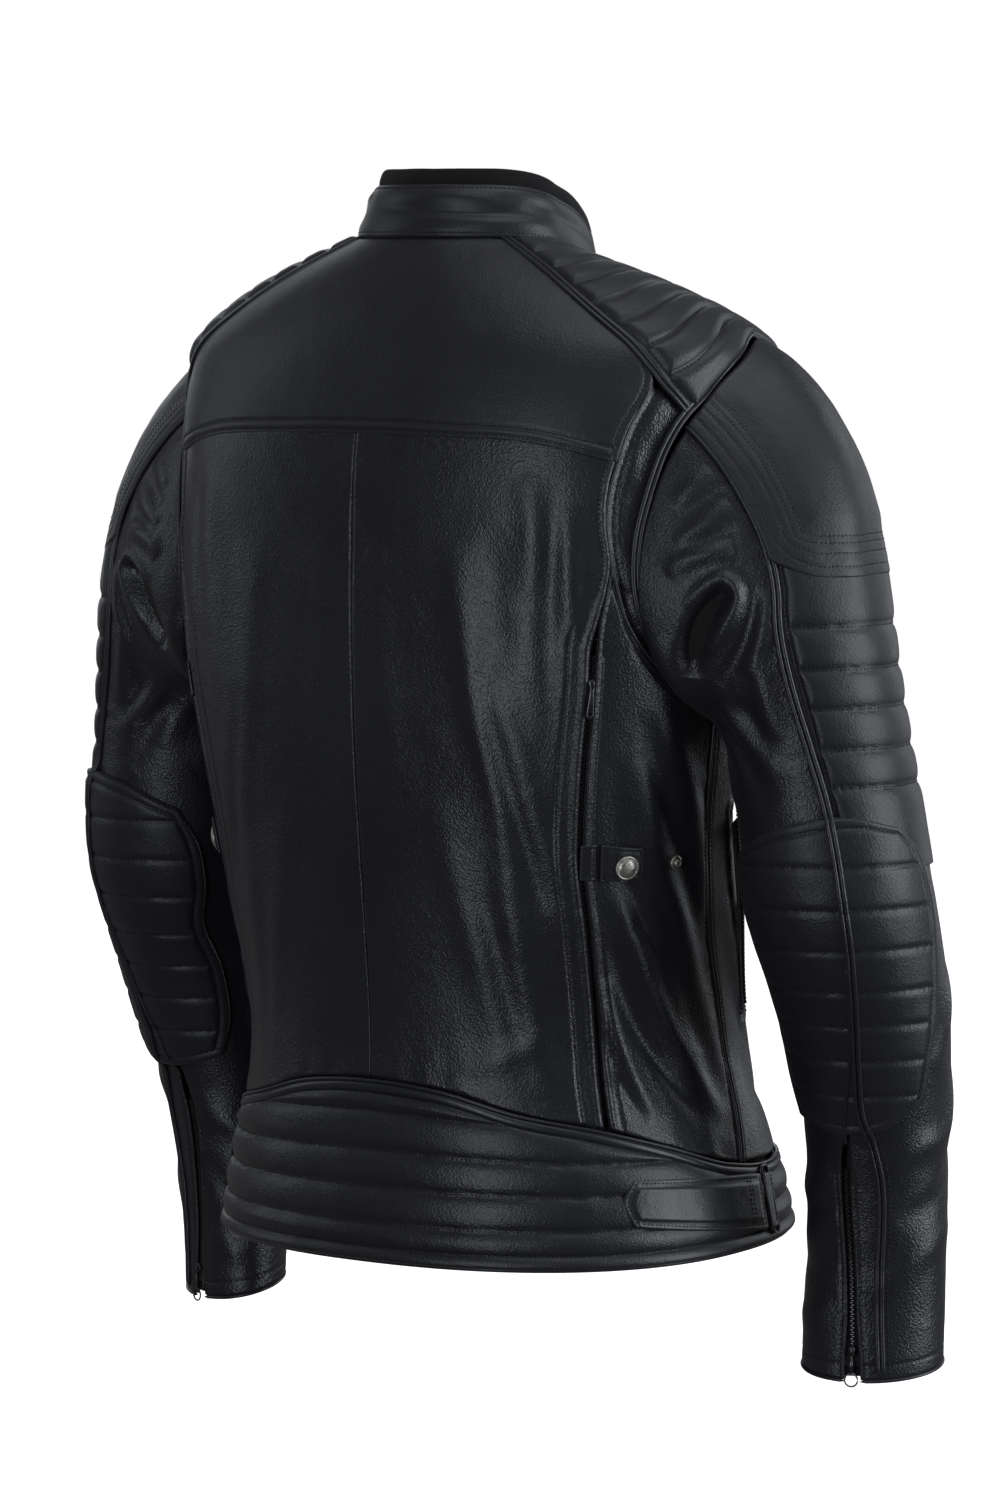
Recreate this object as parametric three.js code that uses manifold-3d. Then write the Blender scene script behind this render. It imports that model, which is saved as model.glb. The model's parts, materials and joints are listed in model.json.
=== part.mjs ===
// A leather riding jacket with a stand collar, action back, quilted shoulders and padded elbows.
// Millimetres and degrees. The origin is the centre of the collar seam, +Z up, the front faces -Y
// and the wearer's right is -X. Every piece is drawn for the wearer's right and mirrored to the left.
import * as THREE from "three";
import { mergeVertices } from "three/addons/utils/BufferGeometryUtils.js";
import Module from "manifold-3d";

const wasm = await Module();
wasm.setup();

// ---------------------------------------------------------------- driving dimensions
const HEM = -663; // height of the lower edge at the centre of the back
const SEAM_GAP = 1.2; // each panel stops this far short of its seam
const SHELL = 2.2; // panel leather with its facing
const PADDED = 4.5; // quilted leather with foam behind it
const BAND = 3.2; // waistband and collar band
const ZIP_HALF_GAP = 3.6; // from a zip's centre line to the leather edge
const CUFF_GAP_ANGLE = 5; // the same at the cuff, as an angle round the arm
const SHOULDER = { x: 205, y: -10, z: -180 }; // pivot of the sleeve swing
const ELBOW = { x: 271, y: -45, z: -450 }; // pivot of the forearm
const ELBOW_NOTCH = 29; // half angle of the wedge in front of the elbow
const SWING_PLANE = 219; // sleeve pieces near the shoulder stay outside this |x|
const SWING_RADIUS = 138; // further than this from the shoulder pivot they may come nearer
const SNAP_RADIUS = 8;
const STUD_RADIUS = 4.6;

// Torso rings from the hem up: height at the back, half width, depth of the back and of the front,
// fore-aft place of the widest point, exponent of the outline, drop of the front below the back.
const TORSO_RINGS = [
  [-664, 190, 124, -213, -48, 2.3, 8],
  [-605, 179, 116, -200, -44, 2.3, 6],
  [-535, 165, 111, -182, -36, 2.3, 0],
  [-430, 176, 119, -159, -18, 2.4, 0],
  [-335, 190, 128, -141, -4, 2.5, 0],
  [-270, 197, 131, -131, -2, 2.7, 0],
  [-200, 200, 131, -123, -6, 2.8, 0],
  [-140, 204, 128, -117, -14, 2.7, 0],
  [-95, 208, 120, -113, -23, 2.5, -2],
  [-66, 205, 110, -111, -26, 2.3, -8],
  [-50, 185, 102, -109, -20, 2.2, -16],
  [-26, 141, 86, -105, -10, 2.1, -34],
  [0, 74, 64, -100, 0, 2, -55],
];

// Collar: top ring above the collar seam.
const COLLAR_TOP = { halfWidth: 62, back: 54, front: 95, forward: 10, height: 46, drop: 65, power: 2.7 };

// Armhole seam: angle round the arm (0 top, 90 back, 180 armpit, 270 front), torso angle, height.
const ARMHOLE = [
  [0, 93, -62],
  [45, 72, -112],
  [90, 62, -190],
  [135, 66, -257],
  [180, 88, -295],
  [225, 115, -262],
  [270, 122, -180],
  [315, 112, -100],
  [360, 93, -62],
];

// Sleeve rings of the right arm: share of the sleeve's length, centre, half width, half depth, turn.
const SLEEVE_RINGS = [
  [0.38, -257, -22, -315, 57, 60, 0],
  [0.52, -269, -34, -415, 58, 61, 0],
  [0.65, -272, -64, -500, 53, 54, 0],
  [0.79, -267, -86, -590, 47, 46, -10],
  [0.9, -264, -89, -670, 46, 37, -30],
  [1, -263, -87, -746, 47, 33, -35],
];

// Seam lines as [torso angle, height] or [angle round the arm, share of the sleeve's length].
const YOKE_SEAM = [[0, -125], [12, -126], [28, -128], [53.5, -142]];
const PIPING_BACK = [[71, -112], [60, -88], [51, -62], [47.5, -33], [49, 0]];
const PIPING_FRONT = [[113, -106], [120, -88], [129, -62], [132, -33], [131, 0]];
const CRESCENT_LOW = [[81, -287], [66.5, -264], [59.5, -242], [56.2, -220], [54.3, -206]];
const CRESCENT_HIGH = [[54.3, -206], [52.7, -190], [52, -171], [52.4, -156], [53.5, -142]];
const CRESCENT = [...CRESCENT_LOW, ...CRESCENT_HIGH.slice(1), [55, -121], [59.5, -91]];
const ARMHOLE_BACK = [[85, -292], [79, -284], [68.5, -255], [63, -225], [62, -195], [64, -163], [71, -112]];
const ARMHOLE_TOP = [[71, -112], [75.5, -100], [82, -78], [93, -62], [103, -78], [113, -106]];
const ARMHOLE_FRONT = [[90, -298], [103, -286], [115, -262], [121, -225], [122, -180], [119, -140], [113, -106]];
const VENT_LINE = [[56, -576], [56, -516], [53, -452], [50, -402], [49.5, -350], [50.2, -290], [50.5, -258]];
const SIDE_SEAM = [[93.5, -610], [97, -567], [96, -502], [92, -461], [90, -400], [90, -326], [90, -298]];
const WAIST_SEAM = [[0, -547], [15, -551], [34, -565], [54, -576], [70, -588], [93.5, -610], [120, -614], [176, -614]];
const MAIN_SEAM = [[49, 0], [52, 0.1], [57, 0.19], [63, 0.23], [66, 0.355], [58, 0.44], [59, 0.55], [68, 0.64]];
const CUFF_SEAM = [[62, 0.57], [72, 0.66], [82, 0.74], [87, 0.8], [80, 0.9], [74, 1]];
const FRONT_SEAM = [[-48, 0], [-52, 0.1], [-56, 0.2], [-60, 0.35], [-60, 1]];
const CAP_SEAM = [[-56, 0.212], [-30, 0.241], [0, 0.251], [30, 0.229], [57, 0.186]];

// ---------------------------------------------------------------- curves and surfaces
const radians = THREE.MathUtils.degToRad;
const lerp = THREE.MathUtils.lerp;
const clamp = THREE.MathUtils.clamp;

// Smooth curve through rows of numbers at uneven knots.
function spline(knots, rows, at) {
  const last = knots.length - 1;
  const t = clamp(at, knots[0], knots[last]);
  let i = 0;
  while (i < last - 1 && t >= knots[i + 1]) i += 1;
  const slope = (k, c) => (rows[k + 1][c] - rows[k][c]) / (knots[k + 1] - knots[k]);
  const tangent = (k, c) => {
    if (k === 0) return slope(0, c);
    if (k === last) return slope(last - 1, c);
    const before = knots[k] - knots[k - 1];
    const after = knots[k + 1] - knots[k];
    return (slope(k, c) * before + slope(k - 1, c) * after) / (before + after);
  };
  const h = knots[i + 1] - knots[i];
  const s = (t - knots[i]) / h;
  const hold = 2 * s ** 3 - 3 * s ** 2 + 1;
  return rows[i].map(
    (value, c) =>
      hold * value +
      (s ** 3 - 2 * s ** 2 + s) * h * tangent(i, c) +
      (1 - hold) * rows[i + 1][c] +
      (s ** 3 - s ** 2) * h * tangent(i + 1, c),
  );
}

// A curve through a few points, asked for by a share of its length from 0 to 1.
function curve(points, unit = [3.3, 1]) {
  const knots = [0];
  for (let i = 1; i < points.length; i += 1) {
    const [du, dv] = [0, 1].map((k) => (points[i][k] - points[i - 1][k]) * unit[k]);
    knots.push(knots[i - 1] + Math.hypot(du, dv));
  }
  return (t) => spline(knots, points, t * knots[knots.length - 1]);
}

const part = (line, from, to) => (t) => line(lerp(from, to, t));
const shifted = (points, by) => points.map(([u, v]) => [u + by, v]);
const ringHeights = TORSO_RINGS.map((ring) => ring[0]);

// Torso skin: angle 0 at the centre back, 90 at the wearer's right, 180 at the centre front.
function torso(angle, height) {
  const [z, halfWidth, back, front, side, exponent, drop] = spline(ringHeights, TORSO_RINGS, height);
  const sine = Math.sin(radians(angle));
  const cosine = Math.cos(radians(angle));
  const round = (value) => Math.sign(value) * Math.abs(value) ** (2 / exponent);
  const depth = cosine > 0 ? back - side : side - front;
  const frontness = ((1 - cosine) / 2) ** 3;
  return new THREE.Vector3(-halfWidth * round(sine), side + depth * round(cosine), z + drop * frontness);
}

// Collar skin: the share runs from 0 at the seam to 1 at the top edge.
function collar(angle, share) {
  const top = COLLAR_TOP;
  const sine = Math.sin(radians(angle));
  const cosine = Math.cos(radians(angle));
  const lowered = top.drop * ((1 - cosine) / 2) ** top.power;
  const y = (cosine > 0 ? top.back : top.front) * cosine - top.forward;
  const rim = new THREE.Vector3(-top.halfWidth * sine, y, top.height - lowered);
  return torso(angle, 0).lerp(rim, share);
}

function armhole(angle) {
  const turn = ((angle % 360) + 360) % 360;
  const before = ARMHOLE.slice(0, -1).map(([a, phi, h]) => [a - 360, phi, h]);
  const after = ARMHOLE.slice(1).map(([a, phi, h]) => [a + 360, phi, h]);
  const rows = [...before, ...ARMHOLE, ...after];
  const [, phi, height] = spline(rows.map((row) => row[0]), rows, turn);
  return torso(phi, height);
}

const ringCentres = SLEEVE_RINGS.map(([, x, y, z]) => new THREE.Vector3(x, y, z));
const ringShares = [0, ...SLEEVE_RINGS.map((ring) => ring[0])];
const armDirection = (k) => {
  const from = ringCentres[Math.max(k - 1, 0)];
  const to = ringCentres[Math.min(k + 1, ringCentres.length - 1)];
  return to.clone().sub(from).normalize();
};

function sleeveRingPoint(k, angle) {
  const [, , , , halfWidth, halfDepth, turn] = SLEEVE_RINGS[k];
  const along = armDirection(k);
  const outward = new THREE.Vector3(-1, 0, 0);
  outward.addScaledVector(along, -outward.dot(along)).normalize();
  const backward = new THREE.Vector3(0, 1, 0);
  backward.addScaledVector(along, -backward.dot(along));
  backward.addScaledVector(outward, -backward.dot(outward)).normalize();
  const q = radians(turn);
  const wide = halfWidth * Math.cos(radians(angle) - q);
  const deep = halfDepth * Math.sin(radians(angle) - q);
  return ringCentres[k]
    .clone()
    .addScaledVector(outward, wide * Math.cos(q) - deep * Math.sin(q))
    .addScaledVector(backward, wide * Math.sin(q) + deep * Math.cos(q));
}

// The sleeve leaves the armhole seam steeply under the arm and flatter over the shoulder.
function leaving(angle) {
  const cosine = Math.cos(radians(angle));
  const over = Math.max(cosine, 0);
  const under = Math.max(-cosine, 0);
  const x = -0.75 * (1 - over - under) - 0.86 * over - 0.55 * under;
  const z = -0.66 * (1 - over - under) - 0.5 * over - 0.83 * under;
  return new THREE.Vector3(x, 0, z).normalize();
}

// Sleeve skin of the right arm: angle round the arm, share of its length from the armhole.
function sleeve(angle, share) {
  const points = [armhole(angle), ...SLEEVE_RINGS.map((_, k) => sleeveRingPoint(k, angle))];
  const last = points.length - 1;
  let i = 0;
  while (i < last - 1 && share >= ringShares[i + 1]) i += 1;
  const step = ringShares[i + 1] - ringShares[i];
  const s = (share - ringShares[i]) / step;
  const tangent = (k) => {
    const from = Math.max(k - 1, 0);
    const to = Math.min(k + 1, last);
    return points[to].clone().sub(points[from]).multiplyScalar(1 / (ringShares[to] - ringShares[from]));
  };
  const reach = points[i + 1].distanceTo(points[i]) / step;
  let start = tangent(i);
  let end = tangent(i + 1);
  if (i === 0) {
    start = leaving(angle).multiplyScalar(reach * 1.25);
    end = armDirection(0).multiplyScalar(reach * 1.05);
  }
  if (i === 1) start = armDirection(0).multiplyScalar(reach);
  const hold = 2 * s ** 3 - 3 * s ** 2 + 1;
  return points[i]
    .clone()
    .multiplyScalar(hold)
    .addScaledVector(start, (s ** 3 - 2 * s ** 2 + s) * step)
    .addScaledVector(points[i + 1], 1 - hold)
    .addScaledVector(end, (s ** 3 - s ** 2) * step);
}

const TORSO = { skin: torso, unit: [3.3, 1], probe: [0.4, 0.6] };
const COLLAR = { skin: collar, unit: [1.3, 45], probe: [0.4, 0.02] };
const SLEEVE = { skin: sleeve, unit: [0.96, 600], probe: [0.6, 0.004] };

// The point at a height above (or below) a skin.
function raised(surface, u, v, height) {
  const [du, dv] = surface.probe;
  const across = surface.skin(u + du, v).sub(surface.skin(u - du, v));
  const along = surface.skin(u, v + dv).sub(surface.skin(u, v - dv));
  return surface.skin(u, v).addScaledVector(across.cross(along).normalize(), height);
}

// A four-sided patch between edge curves that meet at its corners, kept SEAM_GAP inside them.
function patch(surface, { left, right, bottom, top }, gap = SEAM_GAP) {
  const span = (a, b) => Math.hypot((a[0] - b[0]) * surface.unit[0], (a[1] - b[1]) * surface.unit[1]);
  const inset = (t, length) => lerp(gap / length, 1 - gap / length, t);
  return (across, up) => {
    const s = inset(across, span(left(up), right(up)));
    const t = inset(up, span(bottom(across), top(across)));
    return [0, 1].map((k) => {
      const sides = lerp(left(t)[k], right(t)[k], s);
      const ends = lerp(bottom(s)[k], top(s)[k], t);
      const low = lerp(left(0)[k], right(0)[k], s);
      const high = lerp(left(1)[k], right(1)[k], s);
      return sides + ends - lerp(low, high, t);
    });
  };
}

// ---------------------------------------------------------------- solids
function geometryFrom(vertices, faces) {
  const geometry = new THREE.BufferGeometry();
  geometry.setAttribute("position", new THREE.Float32BufferAttribute(vertices.flatMap((p) => p.toArray()), 3));
  geometry.setIndex(faces.flat());
  return geometry;
}

function signedVolume(vertices, faces) {
  const cross = new THREE.Vector3();
  let total = 0;
  faces.forEach(([a, b, c]) => {
    total += vertices[a].dot(cross.crossVectors(vertices[b], vertices[c])) / 6;
  });
  return total;
}

// A closed block from a lattice of points: columns by rows, with an upper and a lower layer.
function block(columns, rows, pointAt) {
  const vertices = [];
  const id = (i, j, layer) => (layer * (rows + 1) + j) * (columns + 1) + i;
  for (let layer = 0; layer < 2; layer += 1) {
    for (let j = 0; j <= rows; j += 1) {
      for (let i = 0; i <= columns; i += 1) vertices.push(pointAt(i / columns, j / rows, layer));
    }
  }
  const faces = [];
  const quad = (a, b, c, d) => faces.push([a, b, c], [a, c, d]);
  for (let j = 0; j < rows; j += 1) {
    for (let i = 0; i < columns; i += 1) {
      quad(id(i, j, 0), id(i + 1, j, 0), id(i + 1, j + 1, 0), id(i, j + 1, 0));
      quad(id(i, j + 1, 1), id(i + 1, j + 1, 1), id(i + 1, j, 1), id(i, j, 1));
    }
  }
  for (let i = 0; i < columns; i += 1) {
    quad(id(i, 0, 1), id(i + 1, 0, 1), id(i + 1, 0, 0), id(i, 0, 0));
    quad(id(i, rows, 0), id(i + 1, rows, 0), id(i + 1, rows, 1), id(i, rows, 1));
  }
  for (let j = 0; j < rows; j += 1) {
    quad(id(0, j, 0), id(0, j + 1, 0), id(0, j + 1, 1), id(0, j, 1));
    quad(id(columns, j, 1), id(columns, j + 1, 1), id(columns, j + 1, 0), id(columns, j, 0));
  }
  if (signedVolume(vertices, faces) < 0) faces.forEach((face) => face.reverse());
  return geometryFrom(vertices, faces);
}

// A plate of even thickness on a skin, between two heights.
function plate(surface, region, [columns, rows], upper, lower) {
  return block(columns, rows, (i, j, layer) => {
    const [u, v] = region(i, j);
    return raised(surface, u, v, layer ? upper : lower);
  });
}

// The geometry with its shared corners joined, so that its surface is closed.
function joined(geometry) {
  const bare = new THREE.BufferGeometry();
  bare.setAttribute("position", geometry.getAttribute("position"));
  bare.setIndex(geometry.index);
  return mergeVertices(bare, 1e-3);
}

function toSolid(geometry) {
  const { attributes, index } = joined(geometry);
  const mesh = new wasm.Mesh({
    numProp: 3,
    vertProperties: new Float32Array(attributes.position.array),
    triVerts: new Uint32Array(index.array),
  });
  return new wasm.Manifold(mesh);
}

function fromSolid(solid) {
  const mesh = solid.getMesh();
  const geometry = new THREE.BufferGeometry();
  geometry.setAttribute("position", new THREE.BufferAttribute(mesh.vertProperties, 3));
  geometry.setIndex(new THREE.BufferAttribute(mesh.triVerts, 1));
  return geometry;
}

function mirrored(geometry) {
  const copy = geometry.clone().applyMatrix4(new THREE.Matrix4().makeScale(-1, 1, 1));
  const index = copy.index.array;
  for (let i = 0; i < index.length; i += 3) [index[i + 1], index[i + 2]] = [index[i + 2], index[i + 1]];
  return copy;
}

// ---------------------------------------------------------------- materials and assembly
const FINISHES = {
  leather: { color: 0x1d1e22, roughness: 0.5, metalness: 0 },
  quilted_leather: { color: 0x202125, roughness: 0.6, metalness: 0 },
  collar_fabric: { color: 0x0c0c0d, roughness: 0.95, metalness: 0 },
  lining_fabric: { color: 0x17181b, roughness: 0.9, metalness: 0 },
  armour_foam: { color: 0x2a2b2e, roughness: 0.9, metalness: 0 },
  zip_tape: { color: 0x101113, roughness: 0.9, metalness: 0 },
  gunmetal: { color: 0x3c3e42, roughness: 0.35, metalness: 1 },
  antique_silver: { color: 0x9a978f, roughness: 0.4, metalness: 1 },
};

const jacket = new THREE.Group();

function add(name, finish, geometry) {
  geometry.computeVertexNormals();
  const mesh = new THREE.Mesh(geometry, new THREE.MeshStandardMaterial(FINISHES[finish]));
  mesh.name = name;
  jacket.add(mesh);
  return mesh;
}

function addPair(name, finish, geometry) {
  add(name + "_right", finish, geometry);
  add(name + "_left", finish, mirrored(geometry));
}

// ---------------------------------------------------------------- torso shell
const pipingBack = curve(PIPING_BACK);
const crescent = curve(CRESCENT);
const mirroredPoints = (points) => points.map(([u, v]) => [-u, v]);
const bothSides = (points) => [...mirroredPoints(points.slice(1)).reverse(), ...points];
const NECK_HEIGHT = 0;
const CENTRE_BACK = -0.25; // the skin runs fast through the centre line, so the seam gap is taken off here

function addBackYoke() {
  const side = [[53.5, -142], [55, -121], [59.5, -91], [51, -62], [47.5, -33], [49, NECK_HEIGHT]];
  const region = patch(TORSO, {
    left: curve(mirroredPoints(side)),
    right: curve(side),
    bottom: curve(bothSides(YOKE_SEAM)),
    top: curve([[-49, NECK_HEIGHT], [0, NECK_HEIGHT], [49, NECK_HEIGHT]]),
  });
  add("back_yoke", "leather", plate(TORSO, region, [12, 5], 0, -SHELL));
}

const backEdge = [...shifted(VENT_LINE, -ZIP_HALF_GAP / 3.3), ...CRESCENT_HIGH];
const sideEdge = [...shifted(VENT_LINE, ZIP_HALF_GAP / 3.3), CRESCENT_HIGH[0]];

function addBackPanel() {
  const bottom = [[CENTRE_BACK, -547], [15, -551], [34, -565], [backEdge[0][0], -576]];
  const region = patch(TORSO, {
    left: curve([[CENTRE_BACK, -547], [CENTRE_BACK, -125]]),
    right: curve(backEdge),
    bottom: curve(bottom),
    top: curve([[CENTRE_BACK, -125], ...YOKE_SEAM.slice(1)]),
  });
  addPair("back_panel", "leather", plate(TORSO, region, [6, 10], 0, -SHELL));
}

function addActionGusset() {
  const region = patch(TORSO, {
    left: crescent,
    right: curve(ARMHOLE_BACK),
    bottom: curve([[81, -287], [85, -292]]),
    top: curve([[59.5, -91], [64, -98], [71, -112]]),
  }, 2 * SEAM_GAP);
  addPair("action_gusset", "leather", plate(TORSO, region, [3, 9], 0, -SHELL));
}

function addSidePanel() {
  const top = [...[...CRESCENT_LOW].reverse(), [85, -292], [90, -298]];
  const region = patch(TORSO, {
    left: curve(sideEdge),
    right: curve(SIDE_SEAM),
    bottom: curve([[sideEdge[0][0], -576], [70, -588], [93.5, -610]]),
    top: curve(top),
  });
  addPair("side_panel", "leather", plate(TORSO, region, [5, 10], 0, -SHELL));
}

function addFrontPanel() {
  const edge = 180 - ZIP_HALF_GAP / 3.3;
  const outer = [...SIDE_SEAM, ...ARMHOLE_FRONT.slice(1), ...PIPING_FRONT.slice(1)];
  const region = patch(TORSO, {
    left: curve(outer),
    right: curve([[edge, -614], [edge, NECK_HEIGHT]]),
    bottom: curve([[93.5, -610], [120, -614], [edge, -614]]),
    top: curve([[131, NECK_HEIGHT], [edge, NECK_HEIGHT]]),
  });
  addPair("front_panel", "leather", plate(TORSO, region, [6, 16], 0, -SHELL));
}

function addShoulderQuilt() {
  const region = patch(TORSO, {
    left: pipingBack,
    right: curve(PIPING_FRONT),
    bottom: curve(ARMHOLE_TOP),
    top: curve([[49, NECK_HEIGHT], [90, NECK_HEIGHT], [131, NECK_HEIGHT]]),
  });
  addPair("shoulder_quilt", "quilted_leather", plate(TORSO, region, [8, 7], 0.6, 0.6 - PADDED));
}

function addWaistband() {
  const end = 180 - (ZIP_HALF_GAP + 1) / 3.3;
  const top = [...WAIST_SEAM.slice(0, -1), [end, -614]];
  const region = patch(TORSO, {
    left: curve([[-end, HEM], [-end, -614]]),
    right: curve([[end, HEM], [end, -614]]),
    bottom: curve([[-end, HEM], [0, HEM], [end, HEM]]),
    top: curve(bothSides(top)),
  });
  add("waistband", "leather", plate(TORSO, region, [32, 2], 0.8, 0.8 - BAND));
}

function addCollar() {
  const rowEdges = (low, high, end) => ({
    left: curve([[-end, low], [-end, high]], COLLAR.unit),
    right: curve([[end, low], [end, high]], COLLAR.unit),
    bottom: curve([[-end, low], [0, low], [end, low]], COLLAR.unit),
    top: curve([[-end, high], [0, high], [end, high]], COLLAR.unit),
  });
  const leather = patch(COLLAR, rowEdges(0.02, 0.76, 176));
  add("collar_band", "leather", plate(COLLAR, leather, [22, 2], 3.5, 3.5 - BAND));
  const fabric = patch(COLLAR, rowEdges(0, 1, 176));
  add("collar_lining", "collar_fabric", plate(COLLAR, fabric, [22, 2], -1.2, -3.4));
}

const ARMHOLE_CUT = { radiusY: 92, radiusZ: 104, y: -6, z: -186 };

function addLining() {
  const end = 172;
  const region = patch(TORSO, {
    left: curve([[-end, HEM + 12], [-end, -12]]),
    right: curve([[end, HEM + 12], [end, -12]]),
    bottom: curve([[-end, HEM + 12], [0, HEM + 12], [end, HEM + 12]]),
    top: curve([[-end, -12], [0, -12], [end, -12]]),
  });
  const shell = toSolid(plate(TORSO, region, [20, 9], -9.6, -10.8));
  const cutter = new THREE.CylinderGeometry(1, 1, 520, 14).rotateZ(Math.PI / 2);
  cutter.scale(1, ARMHOLE_CUT.radiusY, ARMHOLE_CUT.radiusZ).translate(0, ARMHOLE_CUT.y, ARMHOLE_CUT.z);
  add("torso_lining", "lining_fabric", fromSolid(shell.subtract(toSolid(cutter))));
}

// ---------------------------------------------------------------- sleeves
// Nearest share of the sleeve's length from which the sleeve can swing clear of the torso.
function swingStart(angle) {
  const clear = (share) => {
    const p = sleeve(angle, share);
    const far = Math.hypot(p.y - SHOULDER.y, p.z - SHOULDER.z) > SWING_RADIUS;
    return far || Math.abs(p.x) > SWING_PLANE;
  };
  let share = 0.5;
  while (share > 0 && clear(share)) share -= 0.004;
  return share + 0.004;
}

// Share at which the sleeve crosses the elbow's edge: +1 above the wedge, -1 below it.
function elbowEdge(angle, side) {
  const rise = Math.tan(radians(ELBOW_NOTCH));
  const edge = (p) => ELBOW.z + side * (0.8 + Math.max(0, ELBOW.y - p.y) * rise);
  let low = 0.4;
  let high = 0.75;
  for (let i = 0; i < 24; i += 1) {
    const middle = (low + high) / 2;
    const p = sleeve(angle, middle);
    if (p.z > edge(p)) low = middle;
    else high = middle;
  }
  return low;
}

// A strip round the arm between two angle curves and two share functions of the angle. Each depends
// on the other, so they are settled in turn.
function armRegion(from, to, start, end, gap = [SEAM_GAP, SEAM_GAP]) {
  const [sideGap, endGap] = [gap[0] / 0.96, gap[1] / 600];
  return (across, along) => {
    let share = along;
    let angle = 0;
    for (let i = 0; i < 6; i += 1) {
      angle = lerp(from(share)[0] + sideGap, to(share)[0] - sideGap, across);
      share = lerp(start(angle) + endGap, end(angle) - endGap, along);
    }
    return [angle, share];
  };
}

const byShare = (points) => {
  const shares = points.map((p) => p[1]);
  return (share) => spline(shares, points, share);
};
const byAngle = (points) => {
  const angles = points.map((p) => p[0]);
  return (angle) => spline(angles, points, angle)[1];
};
const mainSeam = byShare([...MAIN_SEAM, [68, 1]]);
const frontSeam = byShare(FRONT_SEAM);
const frontSeamBehind = (share) => frontSeam(share).map((value, k) => (k ? value : value + 360));
const cuffSeam = (share) => spline(CUFF_SEAM.map((p) => p[1]), CUFF_SEAM, share)[0];
// The seam opens for the zip from 0.78 of the sleeve's length down.
const cuffOpening = (share) => lerp(0, CUFF_GAP_ANGLE, clamp((share - 0.74) / 0.04, 0, 1));
const capSeam = byAngle(CAP_SEAM);
const aboveElbow = (angle) => elbowEdge(angle, 1);
const belowElbow = (angle) => elbowEdge(angle, -1);

function addUpperSleeve() {
  const cap = armRegion(frontSeam, mainSeam, swingStart, capSeam);
  addPair("shoulder_cap", "leather", plate(SLEEVE, cap, [8, 5], 0.6, 0.6 - PADDED));
  const outer = armRegion(frontSeam, mainSeam, capSeam, aboveElbow);
  addPair("upper_sleeve", "quilted_leather", plate(SLEEVE, outer, [8, 6], 0.6, 0.6 - PADDED));
  const under = armRegion(mainSeam, frontSeamBehind, swingStart, aboveElbow);
  addPair("under_sleeve", "leather", plate(SLEEVE, under, [14, 5], 0, -SHELL));
}

function addSleeveHead() {
  const seam = () => 0.002;
  const clearEnd = (angle) => Math.min(...[-12, 0, 12].map((turn) => swingStart((angle + turn + 360) % 360)));
  const ring = armRegion(() => [0], () => [360], seam, clearEnd, [0, 3]);
  const [columns, rows] = [32, 2];
  const section = [];
  for (let j = 0; j <= rows; j += 1) section.push([j / rows, 0]);
  for (let j = rows; j >= 0; j -= 1) section.push([j / rows, 1]);
  const vertices = [];
  for (let i = 0; i < columns; i += 1) {
    section.forEach(([along, layer]) => {
      const [u, v] = ring(i / columns, along);
      vertices.push(raised(SLEEVE, u, v, layer ? 0 : -SHELL));
    });
  }
  const faces = [];
  const count = section.length;
  for (let i = 0; i < columns; i += 1) {
    const next = (i + 1) % columns;
    for (let k = 0; k < count; k += 1) {
      const l = (k + 1) % count;
      const [a, b, c, d] = [i * count + k, next * count + k, next * count + l, i * count + l];
      faces.push([a, b, c], [a, c, d]);
    }
  }
  if (signedVolume(vertices, faces) < 0) faces.forEach((face) => face.reverse());
  addPair("sleeve_head", "leather", geometryFrom(vertices, faces));
}

function addForearm() {
  const toCuff = () => 0.995;
  const outerEdge = (share) => [cuffSeam(share) - cuffOpening(share)];
  const outer = armRegion(frontSeam, outerEdge, belowElbow, toCuff);
  addPair("forearm_outer", "leather", plate(SLEEVE, outer, [7, 6], 0, -SHELL));
  const underEdge = (share) => [cuffSeam(share) + cuffOpening(share)];
  const under = armRegion(underEdge, frontSeamBehind, belowElbow, toCuff);
  addPair("forearm_under", "leather", plate(SLEEVE, under, [12, 6], 0, -SHELL));
  const creaseStart = (angle) => aboveElbow(angle) + 0.003;
  const creaseEnd = (angle) => belowElbow(angle) - 0.003;
  const crease = armRegion(() => [206], () => [334], creaseStart, creaseEnd);
  addPair("elbow_crease", "leather", plate(SLEEVE, crease, [8, 2], -0.2, -0.2 - SHELL));
}

function addElbowPad() {
  const line = (points) => curve(points, SLEEVE.unit);
  const pad = patch(SLEEVE, {
    left: line([[12, 0.462], [-3, 0.5], [-8, 0.56], [-2, 0.63], [12, 0.69], [28, 0.735]]),
    right: line([[118, 0.455], [136, 0.485], [143, 0.55], [143, 0.63], [138, 0.7], [118, 0.745]]),
    bottom: line([[12, 0.462], [40, 0.445], [88, 0.443], [118, 0.455]]),
    top: line([[28, 0.735], [60, 0.755], [90, 0.757], [118, 0.745]]),
  });
  addPair("elbow_pad", "quilted_leather", plate(SLEEVE, pad, [7, 7], 8, 2.8));
  const armour = patch(SLEEVE, {
    left: line([[28, 0.56], [28, 0.71]]),
    right: line([[112, 0.56], [112, 0.71]]),
    bottom: line([[28, 0.56], [112, 0.56]]),
    top: line([[28, 0.71], [112, 0.71]]),
  });
  addPair("elbow_armour", "armour_foam", plate(SLEEVE, armour, [6, 5], -5, -12));
}

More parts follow.
